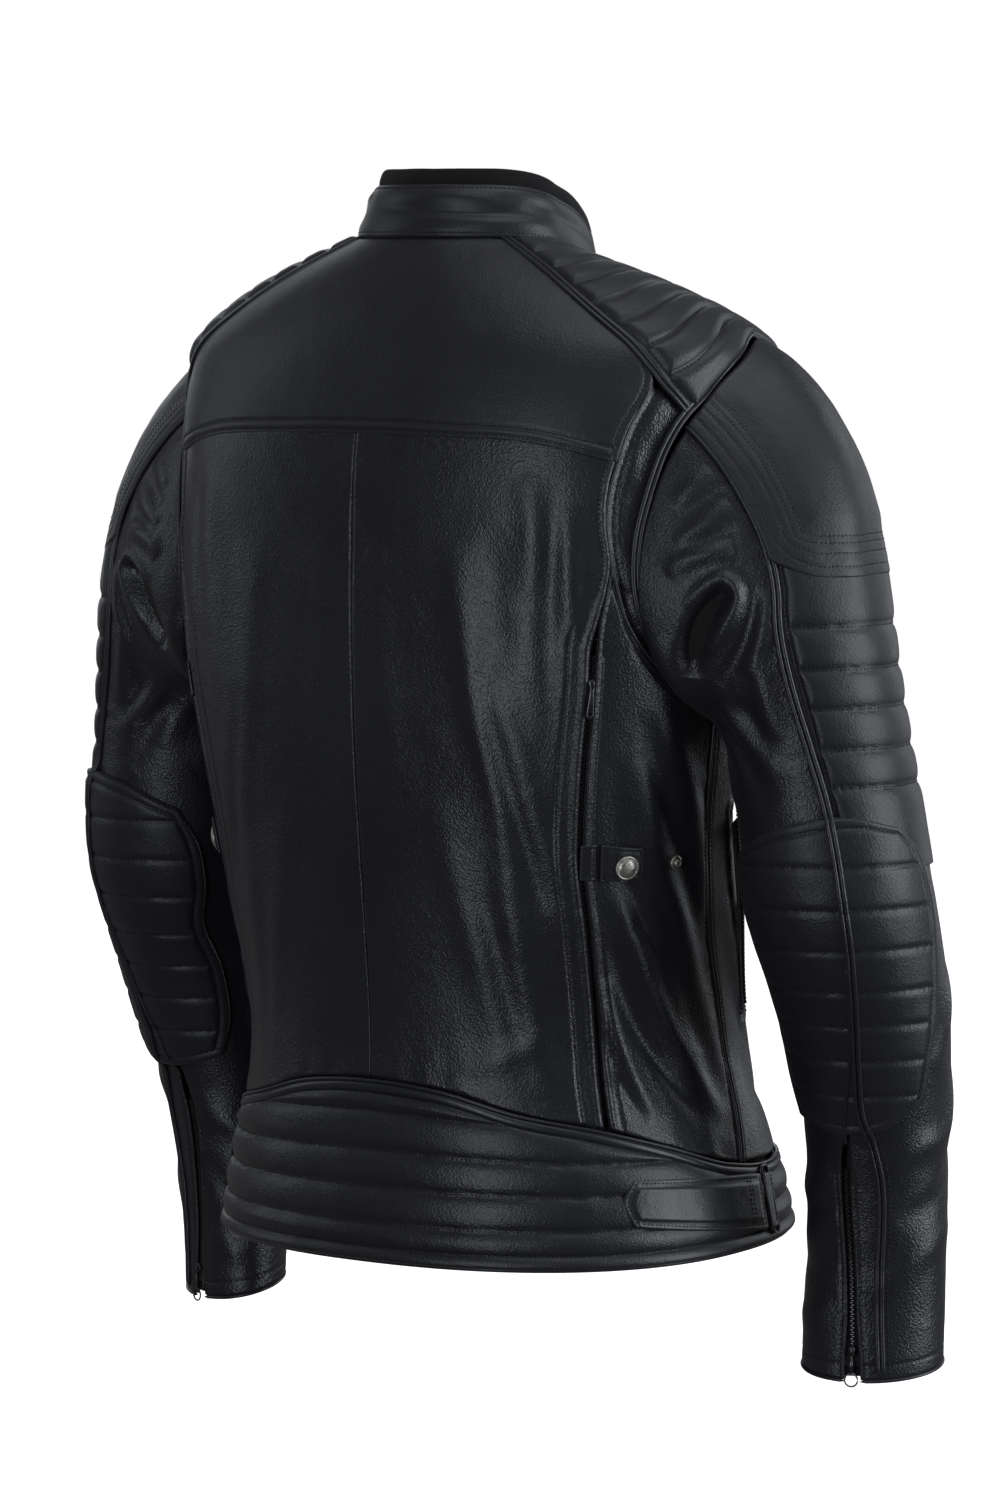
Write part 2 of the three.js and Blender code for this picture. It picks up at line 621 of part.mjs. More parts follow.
// ---------------------------------------------------------------- zips
// A strip with a raised row of teeth, swept along points with an outward and a sideways direction.
function zipStrip(stations, tapeHalf, teethHalf) {
  const outline = [
    [-tapeHalf, -1], [tapeHalf, -1], [tapeHalf, 0], [teethHalf, 0],
    [teethHalf, 1.8], [-teethHalf, 1.8], [-teethHalf, 0], [-tapeHalf, 0],
  ];
  const count = outline.length;
  const vertices = [];
  stations.forEach(({ point, outward, sideways }) => {
    outline.forEach(([side, up]) => {
      vertices.push(point.clone().addScaledVector(sideways, side).addScaledVector(outward, up));
    });
  });
  const faces = [];
  for (let i = 0; i < stations.length - 1; i += 1) {
    for (let k = 0; k < count; k += 1) {
      const l = (k + 1) % count;
      const [a, b, c, d] = [i * count + k, (i + 1) * count + k, (i + 1) * count + l, i * count + l];
      faces.push([a, b, c], [a, c, d]);
    }
  }
  const caps = [[0, 1, 2], [0, 2, 3], [0, 3, 6], [3, 4, 5], [3, 5, 6], [0, 6, 7]];
  const end = (stations.length - 1) * count;
  caps.forEach(([a, b, c]) => {
    faces.push([a, b, c], [end + c, end + b, end + a]);
  });
  if (signedVolume(vertices, faces) < 0) faces.forEach((face) => face.reverse());
  return geometryFrom(vertices, faces);
}

// Stations along a line on a skin, from one share of it to another.
function stationsOn(surface, line, from, to, height, steps) {
  const place = (share) => raised(surface, ...line(share), height);
  return Array.from({ length: steps + 1 }, (_, i) => {
    const share = lerp(from, to, i / steps);
    const point = place(share);
    const tangent = place(share + 0.01).sub(place(share - 0.01)).normalize();
    const outward = raised(surface, ...line(share), height + 1).sub(point);
    outward.addScaledVector(tangent, -outward.dot(tangent)).normalize();
    return { point, outward, sideways: tangent.cross(outward) };
  });
}

// Places a geometry drawn with x across the zip, y up the zip and z outwards.
function onZip(geometry, { point, outward, sideways }) {
  const along = outward.clone().cross(sideways);
  const up = along.multiplyScalar(Math.sign(along.z));
  const matrix = new THREE.Matrix4().makeBasis(up.clone().cross(outward), up, outward).setPosition(point);
  return geometry.applyMatrix4(matrix);
}

// Slider body: rounded towards the teeth it has joined, above the teeth by a running gap.
function sliderBody(scale) {
  const outline = new THREE.Shape();
  outline.moveTo(-4 * scale, -6 * scale);
  outline.lineTo(4 * scale, -6 * scale);
  outline.lineTo(4.6 * scale, 2 * scale);
  outline.absarc(0, 2 * scale, 4.6 * scale, 0, Math.PI, false);
  const body = new THREE.ExtrudeGeometry(outline, { depth: 2.5, bevelEnabled: false, curveSegments: 6 });
  return joined(body.translate(0, 0, 3.4));
}

// Pull tab with an eye at its top and a hole near its lower end.
function pullTab(length, width) {
  const outline = new THREE.Shape();
  const half = width / 2;
  outline.moveTo(-half * 0.6, 1);
  outline.lineTo(-half, -length + half);
  outline.absarc(0, -length + half, half, Math.PI, 2 * Math.PI, false);
  outline.lineTo(half * 0.6, 1);
  const eye = new THREE.Path();
  eye.absarc(0, -length + half, half * 0.5, 0, 2 * Math.PI, true);
  outline.holes.push(eye);
  const tab = new THREE.ExtrudeGeometry(outline, { depth: 1.2, bevelEnabled: false, curveSegments: 6 });
  return joined(tab.translate(0, 0, 6.4));
}

// Zip lines start at the slider's closed end and are sunk so the teeth lie just under the leather.
const SUNK = -5.2;
const POCKET_ZIP_HEIGHT = 3.4;
const ventLine = curve([...VENT_LINE].reverse());
const ventStations = stationsOn(TORSO, ventLine, 0.02, 0.97, SUNK, 12);
const frontLine = curve([[180, -22], [180, -655]]);
const frontStations = stationsOn(TORSO, frontLine, 0, 1, SUNK, 14);
const cuffLine = (share) => {
  const along = lerp(0.985, 0.805, share);
  return [cuffSeam(along), along];
};
const cuffStations = stationsOn(SLEEVE, cuffLine, 0, 1, SUNK, 5);
const pocketLine = curve([[99, -378], [112, -508]]);
const pocketStations = stationsOn(TORSO, pocketLine, 0, 1, POCKET_ZIP_HEIGHT, 3);

const between = (stations, share) => {
  const at = share * (stations.length - 1);
  const i = Math.min(Math.floor(at), stations.length - 2);
  const mix = (key) => stations[i][key].clone().lerp(stations[i + 1][key], at - i);
  return { point: mix("point"), outward: mix("outward").normalize(), sideways: mix("sideways").normalize() };
};

function addZips() {
  addPair("vent_zip", "zip_tape", zipStrip(ventStations, 9, 2.4));
  const ventSlider = between(ventStations, 0.06);
  addPair("vent_slider", "gunmetal", onZip(sliderBody(0.48), ventSlider));
  addPair("vent_pull", "gunmetal", onZip(pullTab(22, 5), ventSlider));
  add("front_zip", "zip_tape", zipStrip(frontStations, 12, 3));
  const frontSlider = between(frontStations, 0.07);
  add("front_slider", "gunmetal", onZip(sliderBody(1), frontSlider));
  add("front_pull", "gunmetal", onZip(pullTab(34, 8), frontSlider));
  addPair("cuff_zip", "zip_tape", zipStrip(cuffStations, 8, 2.2));
  const cuffSlider = between(cuffStations, 0.1);
  addPair("cuff_slider", "gunmetal", onZip(sliderBody(0.6), cuffSlider));
  addPair("pocket_zip", "zip_tape", zipStrip(pocketStations, 8, 2.4));
  const pocketSlider = between(pocketStations, 0.08);
  addPair("pocket_slider", "gunmetal", onZip(sliderBody(0.75), pocketSlider));
}

// ---------------------------------------------------------------- snaps, straps and rings
const TAB = { from: 55, to: 68, low: -412, high: -386 };
const SNAP_AT = [62.5, -401.5];
const STUD_AT = [79, -401];
const STRAP = { from: 57, to: 97, lowBack: -640, highBack: -606, lowFront: -652, highFront: -617 };
const RING = { angle: 100, low: -658, high: -614 };

const rectangle = (from, to, [lowA, highA], [lowB, highB]) => ({
  left: curve([[from, lowA], [from, highA]]),
  right: curve([[to, lowB], [to, highB]]),
  bottom: curve([[from, lowA], [to, lowB]]),
  top: curve([[from, highA], [to, highB]]),
});

// A domed disc lying on the torso, drawn as a turned profile.
function disc(at, radius, foot, height) {
  const profile = [[0, 0], [radius, 0], [radius, height * 0.5], [radius * 0.7, height], [0, height]];
  const points = profile.map(([r, y]) => new THREE.Vector2(r, y));
  const turned = new THREE.LatheGeometry(points, 16).rotateX(Math.PI / 2);
  const base = raised(TORSO, ...at, foot);
  const outward = raised(TORSO, ...at, foot + 1).sub(base);
  const turn = new THREE.Quaternion().setFromUnitVectors(new THREE.Vector3(0, 0, 1), outward);
  return fromSolid(toSolid(turned.applyQuaternion(turn).translate(base.x, base.y, base.z)));
}

function addSnaps() {
  const tab = patch(TORSO, rectangle(TAB.from, TAB.to, [TAB.low, TAB.high], [TAB.low, TAB.high]), 0);
  addPair("snap_tab", "leather", plate(TORSO, tab, [4, 2], 2.8, 0.8));
  addPair("snap_cap", "antique_silver", disc(SNAP_AT, SNAP_RADIUS, 3.4, 3));
  addPair("snap_stud", "antique_silver", disc(STUD_AT, STUD_RADIUS, 0.6, 3.4));
}

function addWaistStrap() {
  const { from, to, lowBack, highBack, lowFront, highFront } = STRAP;
  const strap = patch(TORSO, rectangle(from, to, [lowBack, highBack], [lowFront, highFront]), 0);
  addPair("waist_strap", "leather", plate(TORSO, strap, [8, 2], 4.6, 1.9));
  const height = RING.high - RING.low;
  const outline = new THREE.Shape();
  outline.moveTo(-6, 0);
  outline.lineTo(6, 0);
  outline.lineTo(6, height);
  outline.lineTo(-6, height);
  const hole = new THREE.Path();
  hole.moveTo(-3, 3);
  hole.lineTo(-3, height - 3);
  hole.lineTo(3, height - 3);
  hole.lineTo(3, 3);
  outline.holes.push(hole);
  const ring = new THREE.ExtrudeGeometry(outline, { depth: 2.2, bevelEnabled: false });
  const low = raised(TORSO, RING.angle, RING.low, 2);
  const high = raised(TORSO, RING.angle, RING.high, 2);
  const up = high.clone().sub(low).normalize();
  const outward = raised(TORSO, RING.angle, RING.low, 3).sub(low);
  outward.addScaledVector(up, -outward.dot(up)).normalize();
  const matrix = new THREE.Matrix4().makeBasis(up.clone().cross(outward), up, outward).setPosition(low);
  addPair("strap_ring", "gunmetal", joined(ring.applyMatrix4(matrix)));
}

addBackYoke();
addBackPanel();
addActionGusset();
addSidePanel();
addFrontPanel();
addShoulderQuilt();
addWaistband();
addCollar();
addLining();
addUpperSleeve();
addSleeveHead();
addForearm();
addElbowPad();
addZips();
addSnaps();
addWaistStrap();

export default jacket;
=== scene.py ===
"""The looks of a leather riding jacket, worked out on the same skins as its CAD frame.

Lengths are in millimetres and angles in degrees until a mesh is made, which is in metres. Every
piece is drawn for the wearer's right and mirrored to the left. A panel is a dense grid on a skin,
with a height above it that holds its padding, ribs, folds, seams and grooves for the thread.
"""
import json
import math

import bpy
import numpy as np
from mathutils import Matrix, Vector

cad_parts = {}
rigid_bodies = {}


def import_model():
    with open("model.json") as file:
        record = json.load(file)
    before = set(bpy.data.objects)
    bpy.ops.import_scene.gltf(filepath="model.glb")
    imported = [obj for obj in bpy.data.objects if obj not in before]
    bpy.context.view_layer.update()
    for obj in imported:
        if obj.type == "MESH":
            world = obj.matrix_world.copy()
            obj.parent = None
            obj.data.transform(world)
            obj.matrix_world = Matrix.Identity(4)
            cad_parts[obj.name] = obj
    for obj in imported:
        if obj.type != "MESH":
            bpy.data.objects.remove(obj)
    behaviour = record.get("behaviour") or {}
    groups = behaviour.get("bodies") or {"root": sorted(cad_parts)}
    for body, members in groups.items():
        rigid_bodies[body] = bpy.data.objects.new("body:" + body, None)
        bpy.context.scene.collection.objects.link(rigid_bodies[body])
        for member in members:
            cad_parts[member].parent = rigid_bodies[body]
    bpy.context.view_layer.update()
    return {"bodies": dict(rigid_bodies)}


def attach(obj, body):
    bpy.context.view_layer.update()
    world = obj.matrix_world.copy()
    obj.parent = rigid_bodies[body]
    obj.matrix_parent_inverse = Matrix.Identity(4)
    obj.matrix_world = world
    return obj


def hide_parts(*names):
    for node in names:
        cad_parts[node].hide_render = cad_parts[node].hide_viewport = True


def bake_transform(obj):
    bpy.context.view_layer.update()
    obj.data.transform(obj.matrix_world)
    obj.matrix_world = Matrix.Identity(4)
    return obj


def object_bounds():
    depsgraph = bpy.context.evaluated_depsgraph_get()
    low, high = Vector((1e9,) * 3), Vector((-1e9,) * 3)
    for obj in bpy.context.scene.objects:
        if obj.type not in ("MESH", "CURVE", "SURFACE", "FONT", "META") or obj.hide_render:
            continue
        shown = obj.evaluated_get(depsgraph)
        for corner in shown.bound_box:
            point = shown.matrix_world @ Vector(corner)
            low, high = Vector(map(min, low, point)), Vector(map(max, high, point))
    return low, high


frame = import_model()

MM = 0.001
SIDES = ("right", "left")
TORSO_DEGREE = 3.3  # millimetres to a degree round the torso, on average
PITCH = 3.0  # size of a panel's grid
EDGE_PITCH = 1.0  # the same near its edges
STITCH_PITCH = 3.0
STITCH_LENGTH = 2.2
THREAD_RADIUS = 0.42
EDGE_REACH = 17  # the fine grid goes this far in from an edge, past its rows of stitches
LEATHER = 1.3  # thickness of a single leather
HEM = -663
COLLAR_EDGE = 0.76  # the collar's leather ends here and its lining goes on to 1
COLLAR_END = 176  # angle of the collar's ends, either side of the front zip
LINING_END = 174  # the same for the torso lining
VENT_HALF_GAP = 2.2
FRONT_HALF_GAP = 3.6
WAISTBAND_HALF_GAP = 4.6
CUFF_HALF_ANGLE = 3.6
SLEEVE_CUT = -400  # height where a sleeve's upper pieces meet its lower ones
SLEEVE_START = 0.004  # share of a sleeve's length where its leather starts, at the armhole

# ------------------------------------------------------------------ the CAD model's skins
# Rings from the hem up: height at the back, half width, depth of the back and of the front,
# fore-aft place of the widest point, exponent of the outline, drop of the front.
TORSO_RINGS = np.array([
    [-664, 190, 124, -213, -48, 2.3, 8],
    [-605, 179, 116, -200, -44, 2.3, 6],
    [-535, 165, 111, -182, -36, 2.3, 0],
    [-430, 176, 119, -159, -18, 2.4, 0],
    [-335, 190, 128, -141, -4, 2.5, 0],
    [-270, 197, 131, -131, -2, 2.7, 0],
    [-200, 200, 131, -123, -6, 2.8, 0],
    [-140, 204, 128, -117, -14, 2.7, 0],
    [-95, 208, 120, -113, -23, 2.5, -2],
    [-66, 205, 110, -111, -26, 2.3, -8],
    [-50, 185, 102, -109, -20, 2.2, -16],
    [-26, 141, 86, -105, -10, 2.1, -34],
    [0, 74, 64, -100, 0, 2, -55],
], float)
COLLAR_TOP = {"half_width": 62, "back": 54, "front": 95, "forward": 10, "height": 46, "drop": 65, "power": 2.7}
# Armhole seam: angle round the arm (0 top, 90 back, 180 armpit, 270 front), torso angle, height.
ARMHOLE = np.array([
    [0, 93, -62], [45, 72, -112], [90, 62, -190], [135, 66, -257], [180, 88, -295],
    [225, 115, -262], [270, 122, -180], [315, 112, -100], [360, 93, -62],
], float)
# Sleeve rings: share of the sleeve's length, centre, half width, half depth, turn.
SLEEVE_RINGS = np.array([
    [0.38, -257, -22, -315, 57, 60, 0],
    [0.52, -269, -34, -415, 58, 61, 0],
    [0.65, -272, -64, -500, 53, 54, 0],
    [0.79, -267, -86, -590, 47, 46, -10],
    [0.9, -264, -89, -670, 46, 37, -30],
    [1, -263, -87, -746, 47, 33, -35],
], float)

# Seam lines as [torso angle, height] or [angle round the arm, share of the sleeve's length].
YOKE_SEAM = [[0, -125], [12, -126], [28, -128], [53.5, -142]]
PIPING_BACK = [[71, -112], [60, -88], [51, -62], [47.5, -33], [49, 0]]
PIPING_FRONT = [[113, -106], [120, -88], [129, -62], [132, -33], [131, 0]]
CRESCENT_LOW = [[81, -287], [66.5, -264], [59.5, -242], [56.2, -220], [54.3, -206]]
CRESCENT_HIGH = [[54.3, -206], [52.7, -190], [52, -171], [52.4, -156], [53.5, -142]]
CRESCENT = [*CRESCENT_LOW, *CRESCENT_HIGH[1:], [55, -121], [59.5, -91]]
ARMHOLE_BACK = [[85, -292], [79, -284], [68.5, -255], [63, -225], [62, -195], [64, -163], [71, -112]]
ARMHOLE_TOP = [[71, -112], [75.5, -100], [82, -78], [93, -62], [103, -78], [113, -106]]
ARMHOLE_FRONT = [[90, -298], [103, -286], [115, -262], [121, -225], [122, -180], [119, -140], [113, -106]]
VENT_LINE = [[56, -576], [56, -516], [53, -452], [50, -402], [49.5, -350], [50.2, -290], [50.5, -258]]
SIDE_SEAM = [[93.5, -610], [97, -567], [96, -502], [92, -461], [90, -400], [90, -326], [90, -298]]
WAIST_SEAM = [[0, -547], [15, -551], [34, -565], [54, -576], [70, -588], [93.5, -610], [120, -614], [176, -614]]
MAIN_SEAM = [[49, 0], [52, 0.1], [57, 0.19], [63, 0.23], [66, 0.355], [58, 0.44], [59, 0.55], [68, 0.64]]
LOWER_SEAM = [[68, 0.64], [70, 0.745], [63, 0.785], [57, 0.94], [53, 0.995]]
CUFF_SEAM = [[62, 0.57], [72, 0.66], [82, 0.74], [87, 0.8], [80, 0.9], [74, 1]]
FRONT_SEAM = [[-48, 0], [-52, 0.1], [-56, 0.2], [-60, 0.35], [-60, 1]]
CAP_SEAM = [[-56, 0.212], [-30, 0.241], [0, 0.251], [25, 0.236], [42, 0.211], [51, 0.184], [57, 0.158]]


def unit(vectors):
    """Vectors of length 1 along an array's last axis."""
    return vectors / np.maximum(np.linalg.norm(vectors, axis=-1, keepdims=True), 1e-9)


def blend(a, b, share):
    """From a at share 0 to b at share 1."""
    return a + (b - a) * share


def smooth(low, high, value):
    """0 below low, 1 above high, and a smooth step between them."""
    t = np.clip((value - low) / (high - low), 0, 1)
    return t * t * (3 - 2 * t)


def spline(knots, rows, at):
    """A smooth curve through rows of numbers at uneven knots, at an array of places."""
    knots, rows = np.asarray(knots, float), np.asarray(rows, float)
    steps = np.diff(knots)
    slopes = np.diff(rows, axis=0) / steps[:, None]
    tangents = np.empty_like(rows)
    tangents[0], tangents[-1] = slopes[0], slopes[-1]
    weights = steps[1:] + steps[:-1]
    tangents[1:-1] = (slopes[1:] * steps[:-1, None] + slopes[:-1] * steps[1:, None]) / weights[:, None]
    t = np.clip(at, knots[0], knots[-1])
    i = np.clip(np.searchsorted(knots, t, side="right") - 1, 0, len(knots) - 2)
    h = steps[i][..., None]
    s = ((t - knots[i]) / steps[i])[..., None]
    hold = 2 * s**3 - 3 * s**2 + 1
    bent = (s**3 - 2 * s**2 + s) * h * tangents[i] + (s**3 - s**2) * h * tangents[i + 1]
    return hold * rows[i] + (1 - hold) * rows[i + 1] + bent


def curve(points, scale=(TORSO_DEGREE, 1)):
    """A curve through a few surface points, asked for by shares of its length."""
    points = np.array(points, float)
    lengths = np.linalg.norm(np.diff(points, axis=0) * scale, axis=1)
    knots = np.concatenate([[0], np.cumsum(lengths)])
    return lambda share: spline(knots, points, np.asarray(share, float) * knots[-1])


def both_sides(points):
    """A line from the centre back carried on to the other side."""
    return [[-u, v] for u, v in reversed(points[1:])] + list(points)


def shifted(points, by):
    return [[u + by, v] for u, v in points]


def signed_power(value, power):
    return np.sign(value) * np.abs(value) ** power


def torso(angle, height):
    """Torso skin: angle 0 at the centre back, 90 at the wearer's right, 180 at the centre front."""
    angle, height = np.broadcast_arrays(np.asarray(angle, float), np.asarray(height, float))
    rings = spline(TORSO_RINGS[:, 0], TORSO_RINGS, height)
    z, half_width, back, front, side, exponent, drop = np.moveaxis(rings, -1, 0)
    z = z + np.minimum(height - TORSO_RINGS[0, 0], 0)
    sine, cosine = np.sin(np.radians(angle)), np.cos(np.radians(angle))
    depth = np.where(cosine > 0, back - side, side - front)
    x = -half_width * signed_power(sine, 2 / exponent)
    y = side + depth * signed_power(cosine, 2 / exponent)
    return np.stack([x, y, z + drop * ((1 - cosine) / 2) ** 3], axis=-1)


def collar(angle, share):
    """Collar skin: the share runs from 0 at the seam to 1 at the top edge."""
    angle, share = np.broadcast_arrays(np.asarray(angle, float), np.asarray(share, float))
    top = COLLAR_TOP
    sine, cosine = np.sin(np.radians(angle)), np.cos(np.radians(angle))
    lowered = top["drop"] * ((1 - cosine) / 2) ** top["power"]
    y = np.where(cosine > 0, top["back"], top["front"]) * cosine - top["forward"]
    rim = np.stack([-top["half_width"] * sine, y, top["height"] - lowered], axis=-1)
    return blend(torso(angle, np.zeros_like(angle)), rim, share[..., None])


def armhole(angle):
    """The right armhole's seam, by the angle round the arm."""
    before, after = ARMHOLE[:-1] - [360, 0, 0], ARMHOLE[1:] + [360, 0, 0]
    rows = np.vstack([before, ARMHOLE, after])
    found = spline(rows[:, 0], rows, np.asarray(angle, float) % 360)
    return torso(found[..., 1], found[..., 2])


def arm_direction(k):
    """The sleeve's direction at one of its rings."""
    centres = SLEEVE_RINGS[:, 1:4]
    return unit(centres[min(k + 1, len(centres) - 1)] - centres[max(k - 1, 0)])


def sleeve_ring(k, angle):
    """Points round one of the sleeve's rings, a turned oval square to the arm."""
    _, x, y, z, half_width, half_depth, turn = SLEEVE_RINGS[k]
    along = arm_direction(k)
    outward = np.array([-1.0, 0, 0])
    outward = unit(outward - outward @ along * along)
    backward = np.array([0, 1.0, 0])
    backward -= backward @ along * along
    backward = unit(backward - backward @ outward * outward)
    q = math.radians(turn)
    wide = half_width * np.cos(np.radians(angle) - q)
    deep = half_depth * np.sin(np.radians(angle) - q)
    out, back = wide * math.cos(q) - deep * math.sin(q), wide * math.sin(q) + deep * math.cos(q)
    return np.array([x, y, z]) + out[..., None] * outward + back[..., None] * backward


def leaving(angle):
    """The sleeve leaves its seam steeply under the arm and flatter over the shoulder."""
    cosine = np.cos(np.radians(angle))
    over, under = np.maximum(cosine, 0), np.maximum(-cosine, 0)
    x = -0.75 * (1 - over - under) - 0.86 * over - 0.55 * under
    z = -0.66 * (1 - over - under) - 0.5 * over - 0.83 * under
    return unit(np.stack([x, np.zeros_like(x), z], axis=-1))


def sleeve(angle, share):
    """Sleeve skin of the right arm: angle round the arm, share of its length from the armhole."""
    angle, share = np.broadcast_arrays(np.asarray(angle, float), np.asarray(share, float))
    shares = np.concatenate([[0], SLEEVE_RINGS[:, 0]])
    points = np.stack([armhole(angle), *(sleeve_ring(k, angle) for k in range(len(SLEEVE_RINGS)))])
    last = len(points) - 1
    tangents = np.empty_like(points)
    for k in range(last + 1):
        low, high = max(k - 1, 0), min(k + 1, last)
        tangents[k] = (points[high] - points[low]) / (shares[high] - shares[low])
    i = np.clip(np.searchsorted(shares, share, side="right") - 1, 0, last - 1)
    pick = lambda rows, k: np.take_along_axis(rows, k[None, ..., None], axis=0)[0]
    step = (shares[i + 1] - shares[i])[..., None]
    s = (share - shares[i])[..., None] / step
    low, high = pick(points, i), pick(points, i + 1)
    reach = np.linalg.norm(high - low, axis=-1, keepdims=True) / step
    first, second = (i == 0)[..., None], (i == 1)[..., None]
    start = np.where(first, leaving(angle) * reach * 1.25, pick(tangents, i))
    start = np.where(second, arm_direction(0) * reach, start)
    end = np.where(first, arm_direction(0) * reach * 1.05, pick(tangents, i + 1))
    hold = 2 * s**3 - 3 * s**2 + 1
    return hold * low + (1 - hold) * high + ((s**3 - 2 * s**2 + s) * start + (s**3 - s**2) * end) * step


class Skin:
    """A surface of two numbers, with the millimetres that a unit of each is worth."""

    def __init__(self, at, scale, probe):
        self.at, self.scale, self.probe = at, scale, probe

    def normal(self, u, v):
        du, dv = self.probe
        across = self.at(u + du, v) - self.at(u - du, v)
        along = self.at(u, v + dv) - self.at(u, v - dv)
        return unit(np.cross(across, along))

    def raised(self, u, v, height):
        u, v = np.asarray(u, float), np.asarray(v, float)
        return self.at(u, v) + self.normal(u, v) * np.asarray(height, float)[..., None]


TORSO = Skin(torso, (TORSO_DEGREE, 1), (0.4, 0.6))
COLLAR = Skin(collar, (1.3, 45), (0.4, 0.02))
SLEEVE = Skin(sleeve, (0.96, 600), (0.6, 0.004))


def coons(skin, left, right, bottom, top, gap=0.0):
    """A four-sided region between edge curves that meet at its corners, kept a gap inside them."""
    span = lambda a, b: np.maximum(np.linalg.norm((a - b) * skin.scale, axis=-1), 1)

    def region(across, up):
        width = span(left(up), right(up))
        s = blend(gap / width, 1 - gap / width, across)
        length = span(bottom(across), top(across))
        t = blend(gap / length, 1 - gap / length, up)
        sides = blend(left(t), right(t), s[..., None])
        ends = blend(bottom(s), top(s), t[..., None])
        low = blend(left(0 * s), right(0 * s), s[..., None])
        high = blend(left(0 * s + 1), right(0 * s + 1), s[..., None])
        both = sides + ends - blend(low, high, t[..., None])
        return both[..., 0], both[..., 1]

    return region


# ------------------------------------------------------------------ noise and folds
CELL_PRIMES = (73856093, 19349663, 83492791)  # mixed to give each cell of the noise its own value
MIXING_PRIME = 1274126177
SEED_STEP = 17.31  # cells between the noise of one seed and the next


def noise(points, size, seed):
    """Smooth noise from -1 to 1 at points in millimetres, with lumps of a size."""
    place = points / size + seed * SEED_STEP
    cell = np.floor(place).astype(np.int64)
    part = place - cell
    part = part * part * (3 - 2 * part)
    total = np.zeros(points.shape[:-1])
    for corner in np.ndindex(2, 2, 2):
        x, y, z = np.moveaxis(cell + corner, -1, 0)
        mixed = (x * CELL_PRIMES[0]) ^ (y * CELL_PRIMES[1]) ^ (z * CELL_PRIMES[2])
        mixed = (mixed ^ (mixed >> 13)) * MIXING_PRIME
        mixed = mixed ^ (mixed >> 16)
        weight = np.prod(np.where(corner, part, 1 - part), axis=-1)
        total += weight * ((mixed & 65535) / 32767.5 - 1)
    return total


def nearest(points, line):
    """Distance from each point to a polyline, and the share of the polyline where it is nearest."""
    flat = points.reshape(-1, 3)
    best = np.full(len(flat), 1e9)
    where = np.zeros(len(flat))
    for i in range(len(line) - 1):
        a, d = line[i], line[i + 1] - line[i]
        t = np.clip((flat - a) @ d / max(d @ d, 1e-9), 0, 1)
        gap = np.linalg.norm(flat - a - t[:, None] * d, axis=1)
        closer = gap < best
        best[closer], where[closer] = gap[closer], (i + t[closer]) / (len(line) - 1)
    return best.reshape(points.shape[:-1]), where.reshape(points.shape[:-1])


def fold_heights(skin, base, folds):
    """Sum of soft ridges and hollows along lines: (surface points, height, half width)."""
    total = np.zeros(base.shape[:-1])
    low, high = base.reshape(-1, 3).min(0) - 60, base.reshape(-1, 3).max(0) + 60
    for points, height, width in folds:
        uv = curve(points, skin.scale)(np.linspace(0, 1, 14))
        line = skin.at(uv[:, 0], uv[:, 1])
        if (line.max(0) < low).any() or (line.min(0) > high).any():
            continue
        gap, where = nearest(base, line)
        ends = np.clip(np.sin(np.pi * where), 0, 1) ** 0.6
        total += height * ends * np.exp(-((gap / width) ** 2))
    return total


# ------------------------------------------------------------------ meshes
class Soup:
    """Points and faces gathered for one mesh."""

    def __init__(self):
        self.points, self.faces, self.count = [], [], 0

    def add(self, points, faces):
        points = np.asarray(points, float).reshape(-1, 3)
        self.points.append(points)
        self.faces.extend((np.asarray(face) + self.count for face in faces))
        self.count += len(points)


def make_object(name, points, faces, material, side="right", shade=True):
    """An object from points in millimetres, mirrored if it is the left one, with its faces outwards."""
    points = np.concatenate(points) if isinstance(points, list) else np.asarray(points, float)
    points = points * MM
    if side == "left":
        points = points * [-1, 1, 1]
    mesh = bpy.data.meshes.new(name)
    mesh.from_pydata(points.tolist(), [], [list(map(int, f)) for f in faces])
    if side == "left":
        mesh.flip_normals()
    mesh.materials.append(material)
    mesh.polygons.foreach_set("use_smooth", [shade] * len(mesh.polygons))
    mesh.validate()
    obj = bpy.data.objects.new(name, mesh)
    bpy.context.scene.collection.objects.link(obj)
    return obj


def band_faces(low, high, count):
    """Quads between two rings of a count of points each, given the rings' places in their list."""
    a, b = low * count, high * count
    return [[a + k, a + (k + 1) % count, b + (k + 1) % count, b + k] for k in range(count)]


def grid_faces(columns, rows, first=0, turned=False):
    i, j = np.meshgrid(np.arange(columns), np.arange(rows))
    a = (first + j * (columns + 1) + i).ravel()
    quads = np.stack([a, a + 1, a + columns + 2, a + columns + 1], axis=1)
    return quads[:, ::-1] if turned else quads


def shell(outer, inner):
    """Points and faces of a closed sheet between two grids of the same size."""
    rows, columns = outer.shape[0] - 1, outer.shape[1] - 1
    count = outer.shape[0] * outer.shape[1]
    ids = np.arange(count).reshape(outer.shape[:2])
    rim = np.concatenate([ids[0, :-1], ids[:-1, -1], ids[-1, :0:-1], ids[:0:-1, 0]])
    after = np.roll(rim, -1)
    sides = np.stack([after, rim, rim + count, after + count], axis=1)
    faces = np.concatenate([grid_faces(columns, rows), grid_faces(columns, rows, count, True), sides])
    return np.concatenate([outer.reshape(-1, 3), inner.reshape(-1, 3)]), faces


